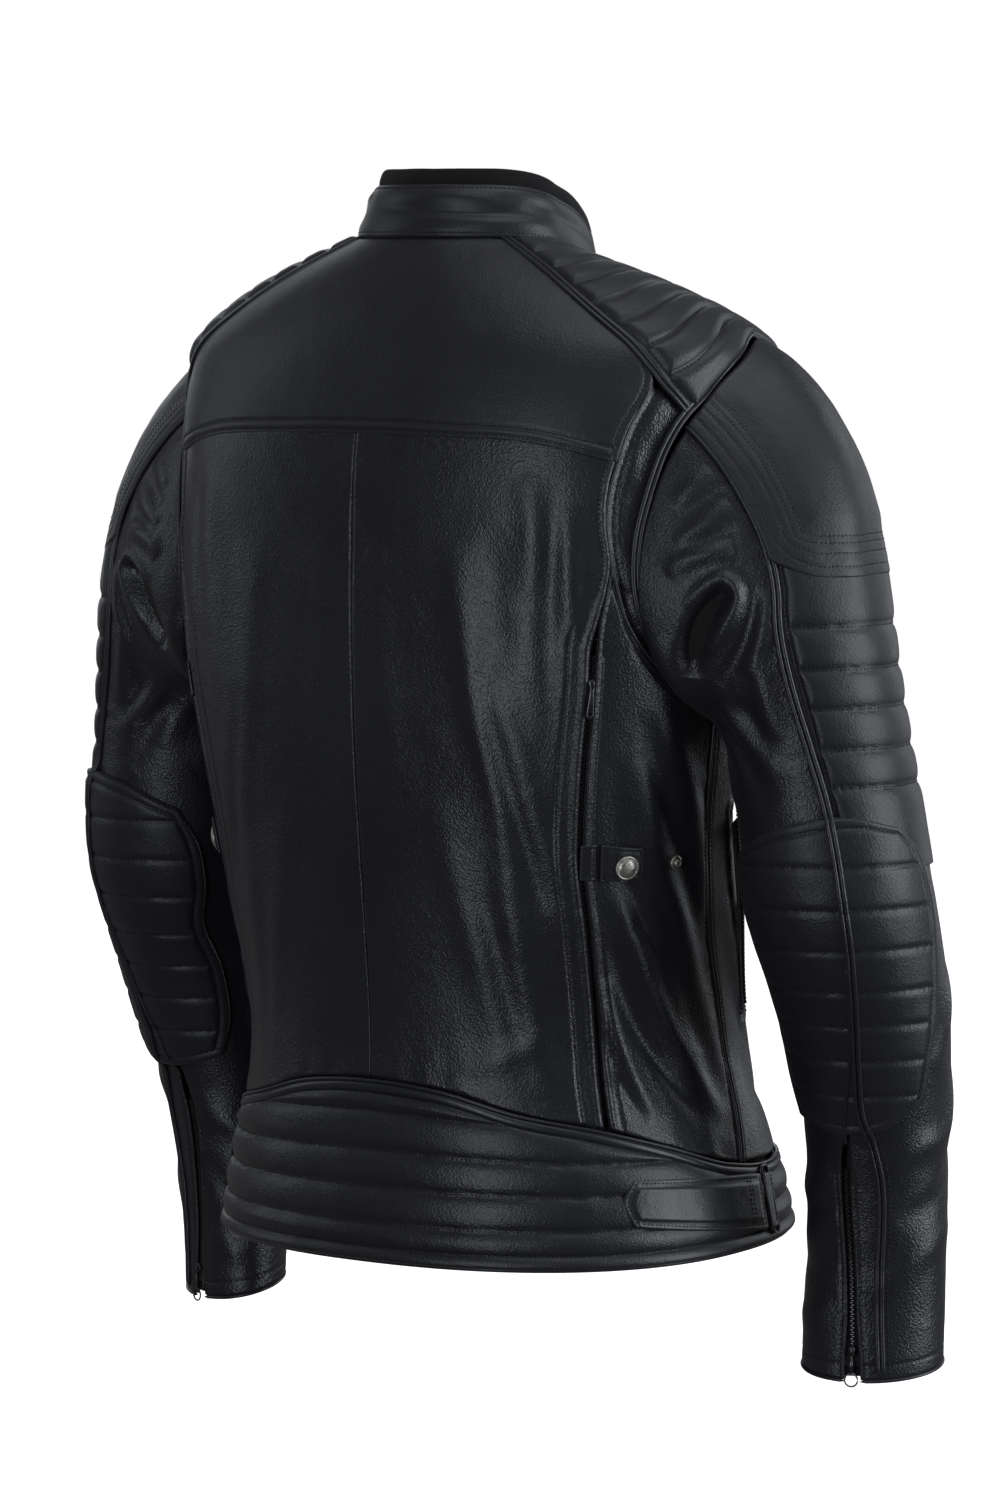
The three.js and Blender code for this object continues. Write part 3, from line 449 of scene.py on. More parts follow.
def tube(line, normals, wide, high=None, sides=10):
    """Points and faces of a closed cord along a line. Its section is an oval, wide across and high outwards."""
    line = np.asarray(line, float)
    high = wide if high is None else high
    tangents = unit(np.gradient(line, axis=0))
    across = unit(np.cross(tangents, normals))
    outward = np.cross(across, tangents)
    turns = np.linspace(0, 2 * np.pi, sides, endpoint=False)
    taper = np.ones(len(line))
    taper[0] = taper[-1] = 0.35
    wide, high = np.broadcast_to(wide, len(line)) * taper, np.broadcast_to(high, len(line)) * taper
    rings = line[:, None] + np.cos(turns)[None, :, None] * across[:, None] * wide[:, None, None]
    rings = rings + np.sin(turns)[None, :, None] * outward[:, None] * high[:, None, None]
    faces = []
    for i in range(len(line) - 1):
        for k in range(sides):
            n = (k + 1) % sides
            faces.append([i * sides + k, (i + 1) * sides + k, (i + 1) * sides + n, i * sides + n])
    last = (len(line) - 1) * sides
    faces.append(list(range(sides)))
    faces.append([last + k for k in reversed(range(sides))])
    return rings.reshape(-1, 3), faces


def resample(line, normals, pitch):
    """Evenly spaced points along a line, at about a pitch, with their normals."""
    lengths = np.linalg.norm(np.diff(line, axis=0), axis=1)
    along = np.concatenate([[0], np.cumsum(lengths)])
    count = max(int(along[-1] / pitch), 2)
    at = np.linspace(0, along[-1], count + 1)
    pick = lambda rows: np.stack([np.interp(at, along, rows[:, k]) for k in range(3)], axis=1)
    return pick(line), unit(pick(normals))


THREAD_SIDES = 5
# Each ring of a stitch as a share of its length from the middle, and a share of its radius.
THREAD_RINGS = np.array([[-0.5, 0.3], [-0.28, 1], [0.28, 1], [0.5, 0.3]])


def add_stitches(soup, line, normals, lift=0.05):
    """Lays a row of thread along a line, each stitch dipping into the leather at its ends."""
    places, ups = resample(line, normals, STITCH_PITCH)
    middles = (places[1:] + places[:-1]) / 2
    along = unit(places[1:] - places[:-1])
    up = unit(ups[1:] + ups[:-1])
    across = np.cross(along, up)
    turns = np.linspace(0, 2 * np.pi, THREAD_SIDES, endpoint=False)
    rings = []
    for share, size in THREAD_RINGS:
        centre = middles + along * share * STITCH_LENGTH + up * (lift + (size - 1) * 0.5)
        for turn in turns:
            out = across * math.cos(turn) + up * math.sin(turn)
            rings.append(centre + out * THREAD_RADIUS * size)
    points = np.stack(rings, axis=1)
    last = (len(THREAD_RINGS) - 1) * THREAD_SIDES
    faces = [face for r in range(len(THREAD_RINGS) - 1) for face in band_faces(r, r + 1, THREAD_SIDES)]
    faces += [list(range(THREAD_SIDES))[::-1], [last + k for k in range(THREAD_SIDES)]]
    for i in range(len(points)):
        soup.add(points[i], faces)


def spaced(length, pitch):
    """Places from 0 to 1 along a length: close together where both ends roll, then a pitch apart."""
    places = [0.0]
    while places[-1] < length / 2:
        inside = smooth(EDGE_REACH, EDGE_REACH + 8, places[-1])
        places.append(places[-1] + blend(min(EDGE_PITCH, pitch), pitch, inside))
    half = np.array(places) * (length / 2) / places[-1]
    return np.concatenate([half, length - half[-2::-1]]) / length


def evened(skin, region, across, places):
    """A region's own shares for even steps over the skin, along one of its directions."""
    t = np.linspace(0, 1, 161)
    along = np.zeros(len(t) - 1)
    for other in (0.1, 0.5, 0.9):
        both = (t, 0 * t + other) if across else (0 * t + other, t)
        steps = np.linalg.norm(np.diff(skin.at(*region(*both)), axis=0), axis=1)
        along += steps / max(steps.sum(), 1e-6)
    reached = np.concatenate([[0], np.cumsum(along)])
    return np.interp(places, reached / reached[-1], t)


class Panel:
    """A grid on a skin, with a height above it at every point."""

    def __init__(self, skin, region, pitch=PITCH, lift=0.0):
        self.skin = skin
        a, b = np.meshgrid(np.linspace(0, 1, 33), np.linspace(0, 1, 33))
        rough = skin.at(*region(a, b))
        width = np.linalg.norm(np.diff(rough, axis=1), axis=-1).sum(1).max()
        length = np.linalg.norm(np.diff(rough, axis=0), axis=-1).sum(0).max()
        over, along = spaced(width, pitch), spaced(length, pitch)
        self.columns, self.rows = len(over) - 1, len(along) - 1
        self.across, self.up = np.meshgrid(over, along)
        even = evened(skin, region, True, over), evened(skin, region, False, along)
        self.u, self.v = region(*np.meshgrid(*even))
        self.base = skin.at(self.u, self.v)
        self.normal = skin.normal(self.u, self.v)
        self.height = np.full(self.u.shape, float(lift))
        self.width, self.length = width, length
        rows = np.linalg.norm(np.diff(self.base, axis=1), axis=-1)
        cols = np.linalg.norm(np.diff(self.base, axis=0), axis=-1)
        left = np.concatenate([np.zeros((self.rows + 1, 1)), np.cumsum(rows, axis=1)], axis=1)
        low = np.concatenate([np.zeros((1, self.columns + 1)), np.cumsum(cols, axis=0)], axis=0)
        self.edges = {"left": left, "right": left[:, -1:] - left, "bottom": low, "top": low[-1:] - low}
        self.threads = []

    def roll(self, edge, depth, reach):
        """Rounds the panel down along an edge."""
        t = np.clip(1 - self.edges[edge] / reach, 0, 1)
        self.height -= depth * (1 - np.sqrt(np.maximum(1 - t * t, 0)))

    def puff(self, height, reach, names=("left", "right", "bottom", "top")):
        """Rises from the edges to a height, as padding does."""
        gap = np.min([self.edges[name] for name in names], axis=0)
        self.height += height * smooth(0, reach, gap) ** 0.7

    def groove(self, gap, depth=0.5, width=1.1):
        self.height -= depth * np.exp(-((gap / width) ** 2))

    def stitch(self, edge, offset, trim=(0, 1), groove=0.5):
        """A row of thread at an offset from an edge, in a groove. Trim is shares of the edge."""
        along = self.up if edge in ("left", "right") else self.across
        inside = smooth(trim[0] - 0.01, trim[0], along) * (1 - smooth(trim[1], trim[1] + 0.01, along))
        self.height -= groove * inside * np.exp(-(((self.edges[edge] - offset) / 1.2) ** 2))
        self.threads.append((edge, offset, trim))

    def pucker(self, edge, amount, size, reach, seed):
        """Small folds that run out from a sewn edge."""
        across_edge = self.up if edge in ("left", "right") else self.across
        span = self.length if edge in ("left", "right") else self.width
        gap = self.edges[edge]
        waves = noise(np.stack([across_edge * span, 0 * self.u + seed * 9.7, gap * 0.15], -1), size, seed)
        self.height += amount * waves * smooth(0.5, 4, gap) * np.exp(-gap / reach)

    def wrinkle(self, amount, size, seed, stretch=(1, 1, 1)):
        place = self.base * np.array(stretch)
        rough = noise(place, size, seed) + 0.5 * noise(place, size * 0.47, seed + 3)
        self.height += amount * rough

    def fold(self, folds):
        self.height += fold_heights(self.skin, self.base, folds)

    def surface(self, lift=0.0):
        return self.base + self.normal * (self.height + lift)[..., None]

    def facing(self):
        """Normals of the finished surface."""
        p = self.surface()
        return unit(np.cross(np.gradient(p, axis=1), np.gradient(p, axis=0)))

    def line_at(self, edge, offset, trim=(0, 1)):
        """The line on the surface at an offset from an edge, with its normals."""
        gaps, p, n = self.edges[edge], self.surface(), self.facing()
        along = self.up[:, 0] if edge in ("left", "right") else self.across[0]
        line, ups = [], []
        for k in range(len(along)):
            if not trim[0] <= along[k] <= trim[1]:
                continue
            rows = (gaps[k], p[k], n[k]) if edge in ("left", "right") else (gaps[:, k], p[:, k], n[:, k])
            gap, points, normals = (r[::-1] if edge in ("right", "top") else r for r in rows)
            if gap[-1] < offset:
                continue
            line.append([np.interp(offset, gap, points[:, c]) for c in range(3)])
            ups.append([np.interp(offset, gap, normals[:, c]) for c in range(3)])
        return np.array(line), np.array(ups)

    def thread_lines(self):
        for edge, offset, trim in self.threads:
            line, ups = self.line_at(edge, offset, trim)
            if len(line) > 3:
                yield line, ups

    def mesh(self, thickness=LEATHER):
        facing = self.facing()
        outer = self.surface()
        points, faces = shell(outer, outer - facing * thickness)
        a, b, c = (points[faces[len(faces) // 5][k]] for k in range(3))
        i = faces[len(faces) // 5][0]
        outward = facing.reshape(-1, 3)[i % facing.reshape(-1, 3).shape[0]]
        if np.cross(b - a, c - a) @ outward < 0:
            faces = faces[:, ::-1]
        return points, faces


# ------------------------------------------------------------------ materials
class Nodes:
    """A material's nodes, made and linked in short calls."""

    def __init__(self, name):
        self.material = bpy.data.materials.new(name)
        self.material.use_nodes = True
        self.tree = self.material.node_tree
        self.shader = self.tree.nodes["Principled BSDF"]

    def add(self, kind, inputs=None, **settings):
        node = self.tree.nodes.new(kind)
        for key, value in settings.items():
            setattr(node, key, value)
        for key, value in (inputs or {}).items():
            if isinstance(value, bpy.types.NodeSocket):
                self.tree.links.new(value, node.inputs[key])
            else:
                node.inputs[key].default_value = value
        return node

    def link(self, socket, name):
        self.tree.links.new(socket, self.shader.inputs[name])

    def set(self, name, value):
        self.shader.inputs[name].default_value = value

    def ramp(self, factor, stops):
        node = self.add("ShaderNodeValToRGB", {"Fac": factor})
        elements = node.color_ramp.elements
        while len(elements) < len(stops):
            elements.new(0.5)
        for element, (place, value) in zip(elements, stops):
            element.position = place
            element.color = value if len(value) == 4 else (*value, 1)
        return node.outputs["Color"]

    def bump(self, layers):
        """Bumps on top of each other: (height socket, strength, distance in metres)."""
        normal = None
        for height, strength, distance in layers:
            inputs = {"Height": height, "Strength": strength, "Distance": distance}
            if normal is not None:
                inputs["Normal"] = normal
            normal = self.add("ShaderNodeBump", inputs).outputs["Normal"]
        self.link(normal, "Normal")


BLACK_LEATHER = (0.0098, 0.0104, 0.0142)
WORN = 0.35  # how far a raised edge goes towards the paler tone


def scaled(tone, red_green, blue=None):
    """A tone made lighter or darker, and its blue by another factor if one is given."""
    r, g, b = tone
    return (r * red_green, g * red_green, b * (red_green if blue is None else blue))


def leather(name, tone=BLACK_LEATHER, rough=0.44, grain=1.0):
    """Soft black leather: pebble grain, fine pores, slow changes of tone and gloss, paler on worn ridges."""
    n = Nodes(name)
    place = n.add("ShaderNodeTexCoord").outputs["Object"]
    warp = n.add("ShaderNodeTexNoise", {"Vector": place, "Scale": 160.0, "Detail": 2.0})
    push = n.add("ShaderNodeVectorMath", {0: warp.outputs["Color"], 3: 0.0028}, operation="SCALE").outputs[0]
    moved = n.add("ShaderNodeVectorMath", {0: place, 1: push}, operation="ADD").outputs[0]
    cells = n.add("ShaderNodeTexVoronoi", {"Vector": moved, "Scale": 720.0}, feature="SMOOTH_F1")
    cells.inputs["Smoothness"].default_value = 0.6
    pores = n.add("ShaderNodeTexNoise", {"Vector": place, "Scale": 2600.0, "Detail": 3.0})
    cloudy = n.add("ShaderNodeTexNoise", {"Vector": place, "Scale": 9.0, "Detail": 4.0, "Roughness": 0.6})
    creases = n.add("ShaderNodeTexNoise", {"Vector": moved, "Scale": 130.0, "Detail": 5.0, "Roughness": 0.62})
    colour = n.ramp(cloudy.outputs["Fac"], [(0.3, scaled(tone, 0.82)), (0.7, scaled(tone, 1.25, 1.28))])
    edge = n.ramp(n.add("ShaderNodeNewGeometry").outputs["Pointiness"], [(0.505, (0, 0, 0)), (0.56, (1, 1, 1))])
    wear = n.add("ShaderNodeMath", {0: edge, 1: WORN}, operation="MULTIPLY").outputs[0]
    paler = n.add("ShaderNodeMix", data_type="RGBA")
    n.tree.links.new(wear, paler.inputs["Factor"])
    n.tree.links.new(colour, paler.inputs["A"])
    paler.inputs["B"].default_value = (*scaled(tone, 2.6, 2.7), 1)
    n.link(paler.outputs["Result"], "Base Color")
    gloss = n.ramp(cloudy.outputs["Fac"], [(0.25, (rough - 0.05,) * 3), (0.75, (rough + 0.07,) * 3)])
    n.link(gloss, "Roughness")
    n.set("Sheen Weight", 0.05)
    n.set("Sheen Roughness", 0.5)
    n.bump([
        (creases.outputs["Fac"], 0.26 * grain, 0.0009),
        (cells.outputs["Distance"], 0.7 * grain, 0.00035),
        (pores.outputs["Fac"], 0.2 * grain, 0.0001),
    ])
    return n.material


def fabric(name, tone, scale, rough=0.9):
    """Knitted or woven cloth: two crossing waves of thread with a soft mottle."""
    n = Nodes(name)
    place = n.add("ShaderNodeTexCoord").outputs["Object"]
    waves = {"Vector": place, "Scale": scale, "Distortion": 0.6}
    warp = n.add("ShaderNodeTexWave", waves, bands_direction="X").outputs["Fac"]
    weft = n.add("ShaderNodeTexWave", waves, bands_direction="Z").outputs["Fac"]
    both = n.add("ShaderNodeMath", {0: warp, 1: weft}, operation="MULTIPLY").outputs[0]
    mottle = n.add("ShaderNodeTexNoise", {"Vector": place, "Scale": 400.0, "Detail": 3.0}).outputs["Fac"]
    n.link(n.ramp(mottle, [(0.3, scaled(tone, 0.7)), (0.7, scaled(tone, 1.3))]), "Base Color")
    n.set("Roughness", rough)
    n.set("Sheen Weight", 0.04)
    n.bump([(both, 0.6, 0.0004), (mottle, 0.3, 0.0002)])
    return n.material


def metal(name, tone, rough, dark):
    """Plated metal with tarnish in its hollows and fine scratches."""
    n = Nodes(name)
    place = n.add("ShaderNodeTexCoord").outputs["Object"]
    spots = {"Vector": place, "Scale": 700.0, "Detail": 5.0, "Roughness": 0.7}
    spots = n.add("ShaderNodeTexNoise", spots).outputs["Fac"]
    hollow = n.add("ShaderNodeNewGeometry").outputs["Pointiness"]
    mixed = n.add("ShaderNodeMath", {0: spots, 1: hollow}, operation="MULTIPLY").outputs[0]
    n.link(n.ramp(mixed, [(0.16, scaled(tone, dark)), (0.34, tone)]), "Base Color")
    n.set("Metallic", 1.0)
    n.link(n.ramp(spots, [(0.3, (rough - 0.08,) * 3), (0.7, (rough + 0.12,) * 3)]), "Roughness")
    scratches = n.add("ShaderNodeTexNoise", {"Vector": place, "Scale": 5200.0, "Detail": 2.0}).outputs["Fac"]
    n.bump([(scratches, 0.12, 0.0001)])
    return n.material


def thread_material():
    """Twisted black thread."""
    n = Nodes("thread")
    place = n.add("ShaderNodeTexCoord").outputs["Object"]
    waves = {"Vector": place, "Scale": 1500.0, "Distortion": 1.0}
    twist = n.add("ShaderNodeTexWave", waves, bands_direction="DIAGONAL").outputs["Fac"]
    n.link(n.ramp(twist, [(0.2, (0.003, 0.003, 0.004)), (0.9, (0.014, 0.014, 0.017))]), "Base Color")
    n.set("Roughness", 0.6)
    n.bump([(twist, 0.4, 0.0002)])
    return n.material


LOOKS = {
    "body": leather("body_leather", rough=0.35),
    "yoke": leather("yoke_leather", rough=0.44, grain=0.7),
    "band": leather("band_leather", rough=0.4, grain=0.8),
    # The collar's leather is the body leather made darker. This is painted shade, holding down the light that
    # falls on the collar.
    "collar": leather("collar_leather", (0.0075, 0.008, 0.0108), rough=0.46, grain=0.5),
    "gusset": leather("gusset_leather", rough=0.33, grain=1.2),
    "quilt": leather("quilt_leather", rough=0.46, grain=0.6),
    "sleeve": leather("sleeve_leather", rough=0.38, grain=1.2),
    "strap": leather("strap_leather", rough=0.36, grain=0.5),
    "piping": leather("piping_leather", rough=0.33, grain=0.4),
    "lining": fabric("mesh_lining", (0.012, 0.012, 0.013), 420.0),
    "collar_fabric": fabric("collar_knit", (0.0022, 0.0022, 0.0025), 520.0, 1.0),
    "tape": fabric("zip_tape_weave", (0.006, 0.006, 0.007), 700.0),
    "foam": fabric("armour_foam", (0.03, 0.03, 0.033), 160.0),
    "gunmetal": metal("gunmetal_plate", (0.11, 0.11, 0.12), 0.34, 0.3),
    "silver": metal("antique_silver_plate", (0.72, 0.69, 0.64), 0.42, 0.3),
    "thread": thread_material(),
}


# ------------------------------------------------------------------ pieces and what they move with
ARM_LEAN = {"right": Vector((-0.6, 0, -0.8)), "left": Vector((0.6, 0, -0.8))}
ARM_BLEND = (0.349, 0.435)  # metres along the lean: torso before, upper arm after
ELBOW_BLEND = (-0.405, -0.505)  # heights: upper arm above, forearm below
threads = {}


def bind(obj, how, side):
    """Makes a piece move with one body; an "upper" piece, over the shoulder, or a "lower" one, over the elbow,
    only has its transform baked in.
    """
    if how == "upper":
        start, end = (ARM_LEAN[side] * share for share in ARM_BLEND)
        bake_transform(obj)
        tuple(start)
        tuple(end)
    elif how == "lower":
        start, end = (Vector((0, 0, z)) for z in ELBOW_BLEND)
        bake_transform(obj)
        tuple(start)
        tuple(end)
    else:
        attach(obj, how if how in frame["bodies"] else f"{how}_{side}")
    return obj


def sew(side, how, line, normals):
    """Adds a row of stitches to the one thread piece of a side and a body."""
    add_stitches(threads.setdefault((side, how), Soup()), line, normals)


def piece(name, panel, look, side, how, slot, node, padded=None, thickness=LEATHER):
    """A panel as an object, with its threads sewn, that stands for a CAD node."""
    suffix = f"_{side}" if side in SIDES else ""
    points, faces = panel.mesh(thickness)
    obj = make_object(name + suffix, points, faces, LOOKS[look], side)
    for line, normals in panel.thread_lines():
        sew(side, how, line, normals)
    bind(obj, how, side)
    if node:
        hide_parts(node + suffix)
    if padded is None:
        declare_sheet(obj, panel, "stretched")
    return obj


def declare_sheet(obj, panel, held, cut_away=0.0, **facts):
    """Works out the steps of a panel's grid across and along it; nothing is declared."""
    a = np.diff(panel.base, axis=1)[:-1]
    b = np.diff(panel.base, axis=0)[:, :-1]


def plain(name, parts, look, side, how, slot, nodes=(), shade=True):
    """An object from closed parts, each a pair of points and faces."""
    soup = Soup()
    for points, faces in parts:
        soup.add(points, faces)
    suffix = f"_{side}" if side in SIDES else ""
    obj = make_object(name + suffix, soup.points, soup.faces, LOOKS[look], side, shade)
    bind(obj, how, side)
    if nodes:
        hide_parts(*(node + suffix for node in nodes))
    return obj


def height_on(places, panels, reach=6.0):
    """Height of the panels' surfaces at points of the skin, or 0 off them."""
    best = np.zeros(len(places))
    for panel in panels:
        base, height = panel.base.reshape(-1, 3), panel.height.ravel()
        low, high = places.min(0) - reach, places.max(0) + reach
        inside = ((base > low) & (base < high)).all(1)
        base, height = base[inside], height[inside]
        if not len(base):
            continue
        for k, place in enumerate(places):
            gap = np.linalg.norm(base - place, axis=1)
            i = gap.argmin()
            if gap[i] < reach:
                best[k] = max(best[k], height[i])
    return best


def laid(skin, points, panels=(), lift=0.0, trim=(0, 1), step=3.0):
    """A line on the skin, over whatever panels it crosses, with its normals."""
    way = curve(points, skin.scale)
    rough = way(np.linspace(*trim, 40))
    length = np.linalg.norm(np.diff(skin.at(rough[:, 0], rough[:, 1]), axis=0), axis=1).sum()
    uv = way(np.linspace(*trim, max(int(length / step), 6)))
    base, normals = skin.at(uv[:, 0], uv[:, 1]), skin.normal(uv[:, 0], uv[:, 1])
    height = height_on(base, panels) if panels else np.zeros(len(base))
    for _ in range(3):
        height[1:-1] = (height[:-2] + 2 * height[1:-1] + height[2:]) / 4
    return base + normals * (height + lift)[:, None], normals


def ridge(line, normals, cords):
    """Cords side by side along a line: (offset across, half width, half height)."""
    tangents = unit(np.gradient(line, axis=0))
    across = unit(np.cross(tangents, normals))
    return [tube(line + across * offset, normals, wide, high) for offset, wide, high in cords]


def level_line(panel, field, value, trim=(0, 1)):
    """The line on a panel where a field, which changes up the panel, has a value."""
    p, n = panel.surface(), panel.facing()
    line, normals = [], []
    for k in range(panel.columns + 1):
        if not trim[0] <= panel.across[0, k] <= trim[1]:
            continue
        column = field[:, k]
        order = np.argsort(column)
        if not column[order[0]] < value < column[order[-1]]:
            continue
        line.append([np.interp(value, column[order], p[order, k, c]) for c in range(3)])
        normals.append([np.interp(value, column[order], n[order, k, c]) for c in range(3)])
    return np.array(line), np.array(normals)


def quilt(panel, gap, height, reach):
    """Padding that swells between sewn lines, given the distance to the nearest one."""
    panel.height += height * np.sqrt(1 - (1 - np.clip(gap / reach, 0, 1)) ** 2)


# ------------------------------------------------------------------ torso
# Soft folds as (surface points, height, half width), for the wearer's right.
BACK_FOLDS = [
    ([(16, -191), (17, -230), (19, -261), (22.5, -302), (28, -346), (32, -413), (36, -462)], 3.1, 10.4),
    ([(30.5, -149), (32.5, -178), (33.2, -203), (33.2, -228)], 2.0, 9.1),
    ([(41.2, -168), (41.8, -190), (42.5, -219), (44, -254)], 2.3, 7.8),
    ([(24, -281), (31.8, -323), (38.5, -375), (43.2, -406), (46.5, -449)], 2.3, 9.1),
    ([(29.2, -403), (34.2, -456), (39, -508), (40.8, -554)], 2.3, 10.4),
    ([(15.2, -359), (18.8, -411), (25, -463), (30.2, -515), (31, -554)], 2.0, 11.7),
    ([(2, -167), (2.5, -232), (4, -296), (7, -360)], 1.1, 11.7),
    ([(21, -270), (27, -322), (34, -380), (40, -430)], -1.7, 6.5),
    ([(37, -150), (38, -200), (38, -260), (41, -330)], -2.0, 7.8),
    ([(24, -180), (25, -230), (27, -270)], -1.4, 10.4),
    ([(25, -420), (30, -470), (35, -520)], -1.4, 7.8),
    ([(47, -500), (36, -522), (20, -537)], 1.2, 7.8),
]
SIDE_FOLDS = [
    ([(65.8, -332), (72, -392), (81.5, -440), (89.5, -497), (96.2, -561)], 2.7, 9.1),
    ([(59.8, -417), (68.2, -464), (78.8, -514), (87, -550), (91.2, -579)], 3.5, 7.8),
    ([(68, -293), (79.2, -334), (88, -395), (90, -443)], 2.5, 10.4),
    ([(56.5, -476), (61, -510), (67, -551), (71.2, -571)], 2.5, 6.5),
    ([(68, -444), (78, -480), (85.5, -522), (89.2, -544)], 2.3, 6.5),
    ([(66, -300), (73, -350), (82, -400), (88, -450)], -2.3, 7.8),
    ([(61, -400), (69, -440), (79, -485), (88, -530)], -2.0, 6.5),
    ([(59, -450), (66, -500), (76, -542), (85, -575)], -2.8, 6.5),
    ([(57, -510), (62, -545), (67, -572)], -1.9, 5.2),
    ([(58, -330), (60, -380), (64, -430)], -1.2, 9.1),
]
GUSSET_FOLDS = [
    ([(53, -185), (58, -200), (63, -205)], 1.2, 6),
    ([(53, -215), (59, -225), (64, -228)], -1.4, 6),
    ([(56, -130), (60, -150), (64, -160)], 1.0, 8),
    ([(62, -258), (68, -266), (76, -276)], -1.2, 6),
]
FRONT_FOLDS = [
    ([(100, -320), (112, -380), (120, -450)], 2.4, 12),
    ([(110, -300), (130, -380), (140, -480)], -2.0, 14),
    ([(98, -430), (110, -500), (128, -560)], 2.4, 9),
    ([(104, -540), (125, -575), (150, -590)], -2.0, 8),
    ([(122, -200), (140, -240), (150, -320)], 1.8, 14),
]
ALL_TORSO_FOLDS = BACK_FOLDS + SIDE_FOLDS + GUSSET_FOLDS + FRONT_FOLDS
torso_panels = {}


def front_hollow(u, v):
    """How far the front falls in beside the arm, where nothing fills it."""
    over = smooth(97, 112, np.abs(u)) * (1 - smooth(135, 165, np.abs(u)))
    return 12 * over * smooth(-205, -265, v) * smooth(-470, -370, v)


def torso_panel(key, region, side, lift=0.0, pitch=PITCH):
    """A panel on the torso with the folds that run over its seams."""
    panel = Panel(TORSO, region, pitch, lift)
    panel.fold(ALL_TORSO_FOLDS)
    if side == "left":
        panel.height -= 0.6 * fold_heights(TORSO, panel.base, BACK_FOLDS)
    seed = 1 if side == "right" else 5
    panel.wrinkle(0.4, 42, seed)
    panel.wrinkle(0.1, 13, seed + 1)
    torso_panels[key, side] = panel
    return panel


def make_yoke():
    side = [[53.5, -142], [55, -121], [59.5, -91], [51, -62], [47.5, -33], [49, 3]]
    region = coons(
        TORSO, curve([[-u, v] for u, v in side]), curve(side),
        curve(both_sides(YOKE_SEAM)), curve([[-49, 3], [0, 3], [49, 3]]),
    )
    panel = Panel(TORSO, region, PITCH, 1.1)
    panel.wrinkle(0.45, 60, 2)
    panel.wrinkle(0.12, 12, 3)
    panel.pucker("bottom", 0.35, 9, 9, 1)
    panel.roll("bottom", 1.7, 2.2)
    panel.height += 0.3 * np.exp(-(((panel.edges["bottom"] - 5.6) / 2.2) ** 2))
    panel.stitch("bottom", 2.3, (0.02, 0.98), 0.9)
    panel.stitch("bottom", 8.6, (0.02, 0.98), 0.9)
    for edge in ("left", "right"):
        panel.roll(edge, 1.6, 2.2)
        panel.stitch(edge, 5.6, (0, 0.34))
    panel.roll("top", 2.5, 5)
    torso_panels["yoke", "centre"] = panel
    piece("yoke_leather", panel, "yoke", "centre", "torso", "yoke_leather", "back_yoke")


def make_back_panel(side):
    gap = VENT_HALF_GAP / TORSO_DEGREE
    edge = [*shifted(VENT_LINE, -gap), [51.2, -247], *CRESCENT_HIGH]
    bottom = [[0, -545], [15, -549], [34, -563], [edge[0][0], -574]]
    top = [[0, -122], *[[u, v + 3] for u, v in YOKE_SEAM[1:]]]
    region = coons(TORSO, curve([[0, -545], [0, -122]]), curve(edge), curve(bottom), curve(top))
    panel = torso_panel("back", region, side)
    panel.pucker("right", 0.4, 10, 10, 2)
    panel.pucker("bottom", 0.8, 14, 16, 3)
    panel.pucker("left", 0.2, 14, 8, 4)
    panel.roll("left", 0.8, 1.3)
    panel.roll("right", 1.7, 2.4)
    panel.height += 1.2 * np.exp(-((panel.edges["right"] - 3.4) / 2.6) ** 2)
    panel.stitch("right", 14.8, (0, 0.735), 0.9)
    panel.stitch("right", 5.6, (0.80, 1), 0.6)
    panel.roll("top", 1.6, 4)
    panel.roll("bottom", 1.2, 3)
    piece("back_leather", panel, "body", side, "torso", "body_leather", "back_panel")


def make_gusset(side):
    region = coons(
        TORSO, curve(CRESCENT), curve(ARMHOLE_BACK),
        curve([[81, -287], [85, -292]]), curve([[59.5, -91], [64, -98], [71, -112]]), gap=-0.6,
    )
    panel = torso_panel("gusset", region, side, -1.5, PITCH * 0.8)
    middle = np.minimum(panel.edges["left"], panel.edges["right"])
    panel.height -= 1.2 * smooth(2, 12, middle) + 2.6 * np.exp(-(((panel.edges["left"] - 4.5) / 4) ** 2))
    panel.pucker("left", 0.7, 7, 9, 5)
    panel.pucker("right", 0.6, 8, 9, 6)
    for edge in ("left", "right"):
        panel.roll(edge, 1.2, 2.4)
    piece("gusset_leather", panel, "gusset", side, "torso", "gusset_leather", "action_gusset")


def make_side_panel(side):
    gap = VENT_HALF_GAP / TORSO_DEGREE
    edge = [*shifted(VENT_LINE, gap), [51.4, -247], CRESCENT_HIGH[0]]
    top = [*reversed(CRESCENT_LOW), [85, -292], [90, -298]]
    region = coons(
        TORSO, curve(edge), curve(SIDE_SEAM),
        curve([[edge[0][0], -574], [70, -586], [93.5, -608]]), curve(top),
    )
    panel = torso_panel("side", region, side)
    panel.pucker("left", 0.5, 11, 10, 7)
    panel.pucker("bottom", 1.0, 14, 16, 8)
    panel.pucker("right", 0.6, 12, 12, 9)
    panel.pucker("top", 0.5, 9, 9, 10)
    panel.roll("left", 1.7, 2.4)
    panel.height += 1.2 * np.exp(-((panel.edges["left"] - 3.4) / 2.6) ** 2)
    panel.stitch("left", 10.8, (0, 0.86), 0.9)
    panel.roll("top", 1.6, 2.6)
    panel.stitch("top", 5.6, (0.02, 0.8), 0.6)
    panel.roll("right", 1.2, 2.6)
    panel.stitch("right", 5.0, (0, 1), 0.5)
    panel.roll("bottom", 1.2, 3)
    piece("side_leather", panel, "body", side, "torso", "body_leather", "side_panel")


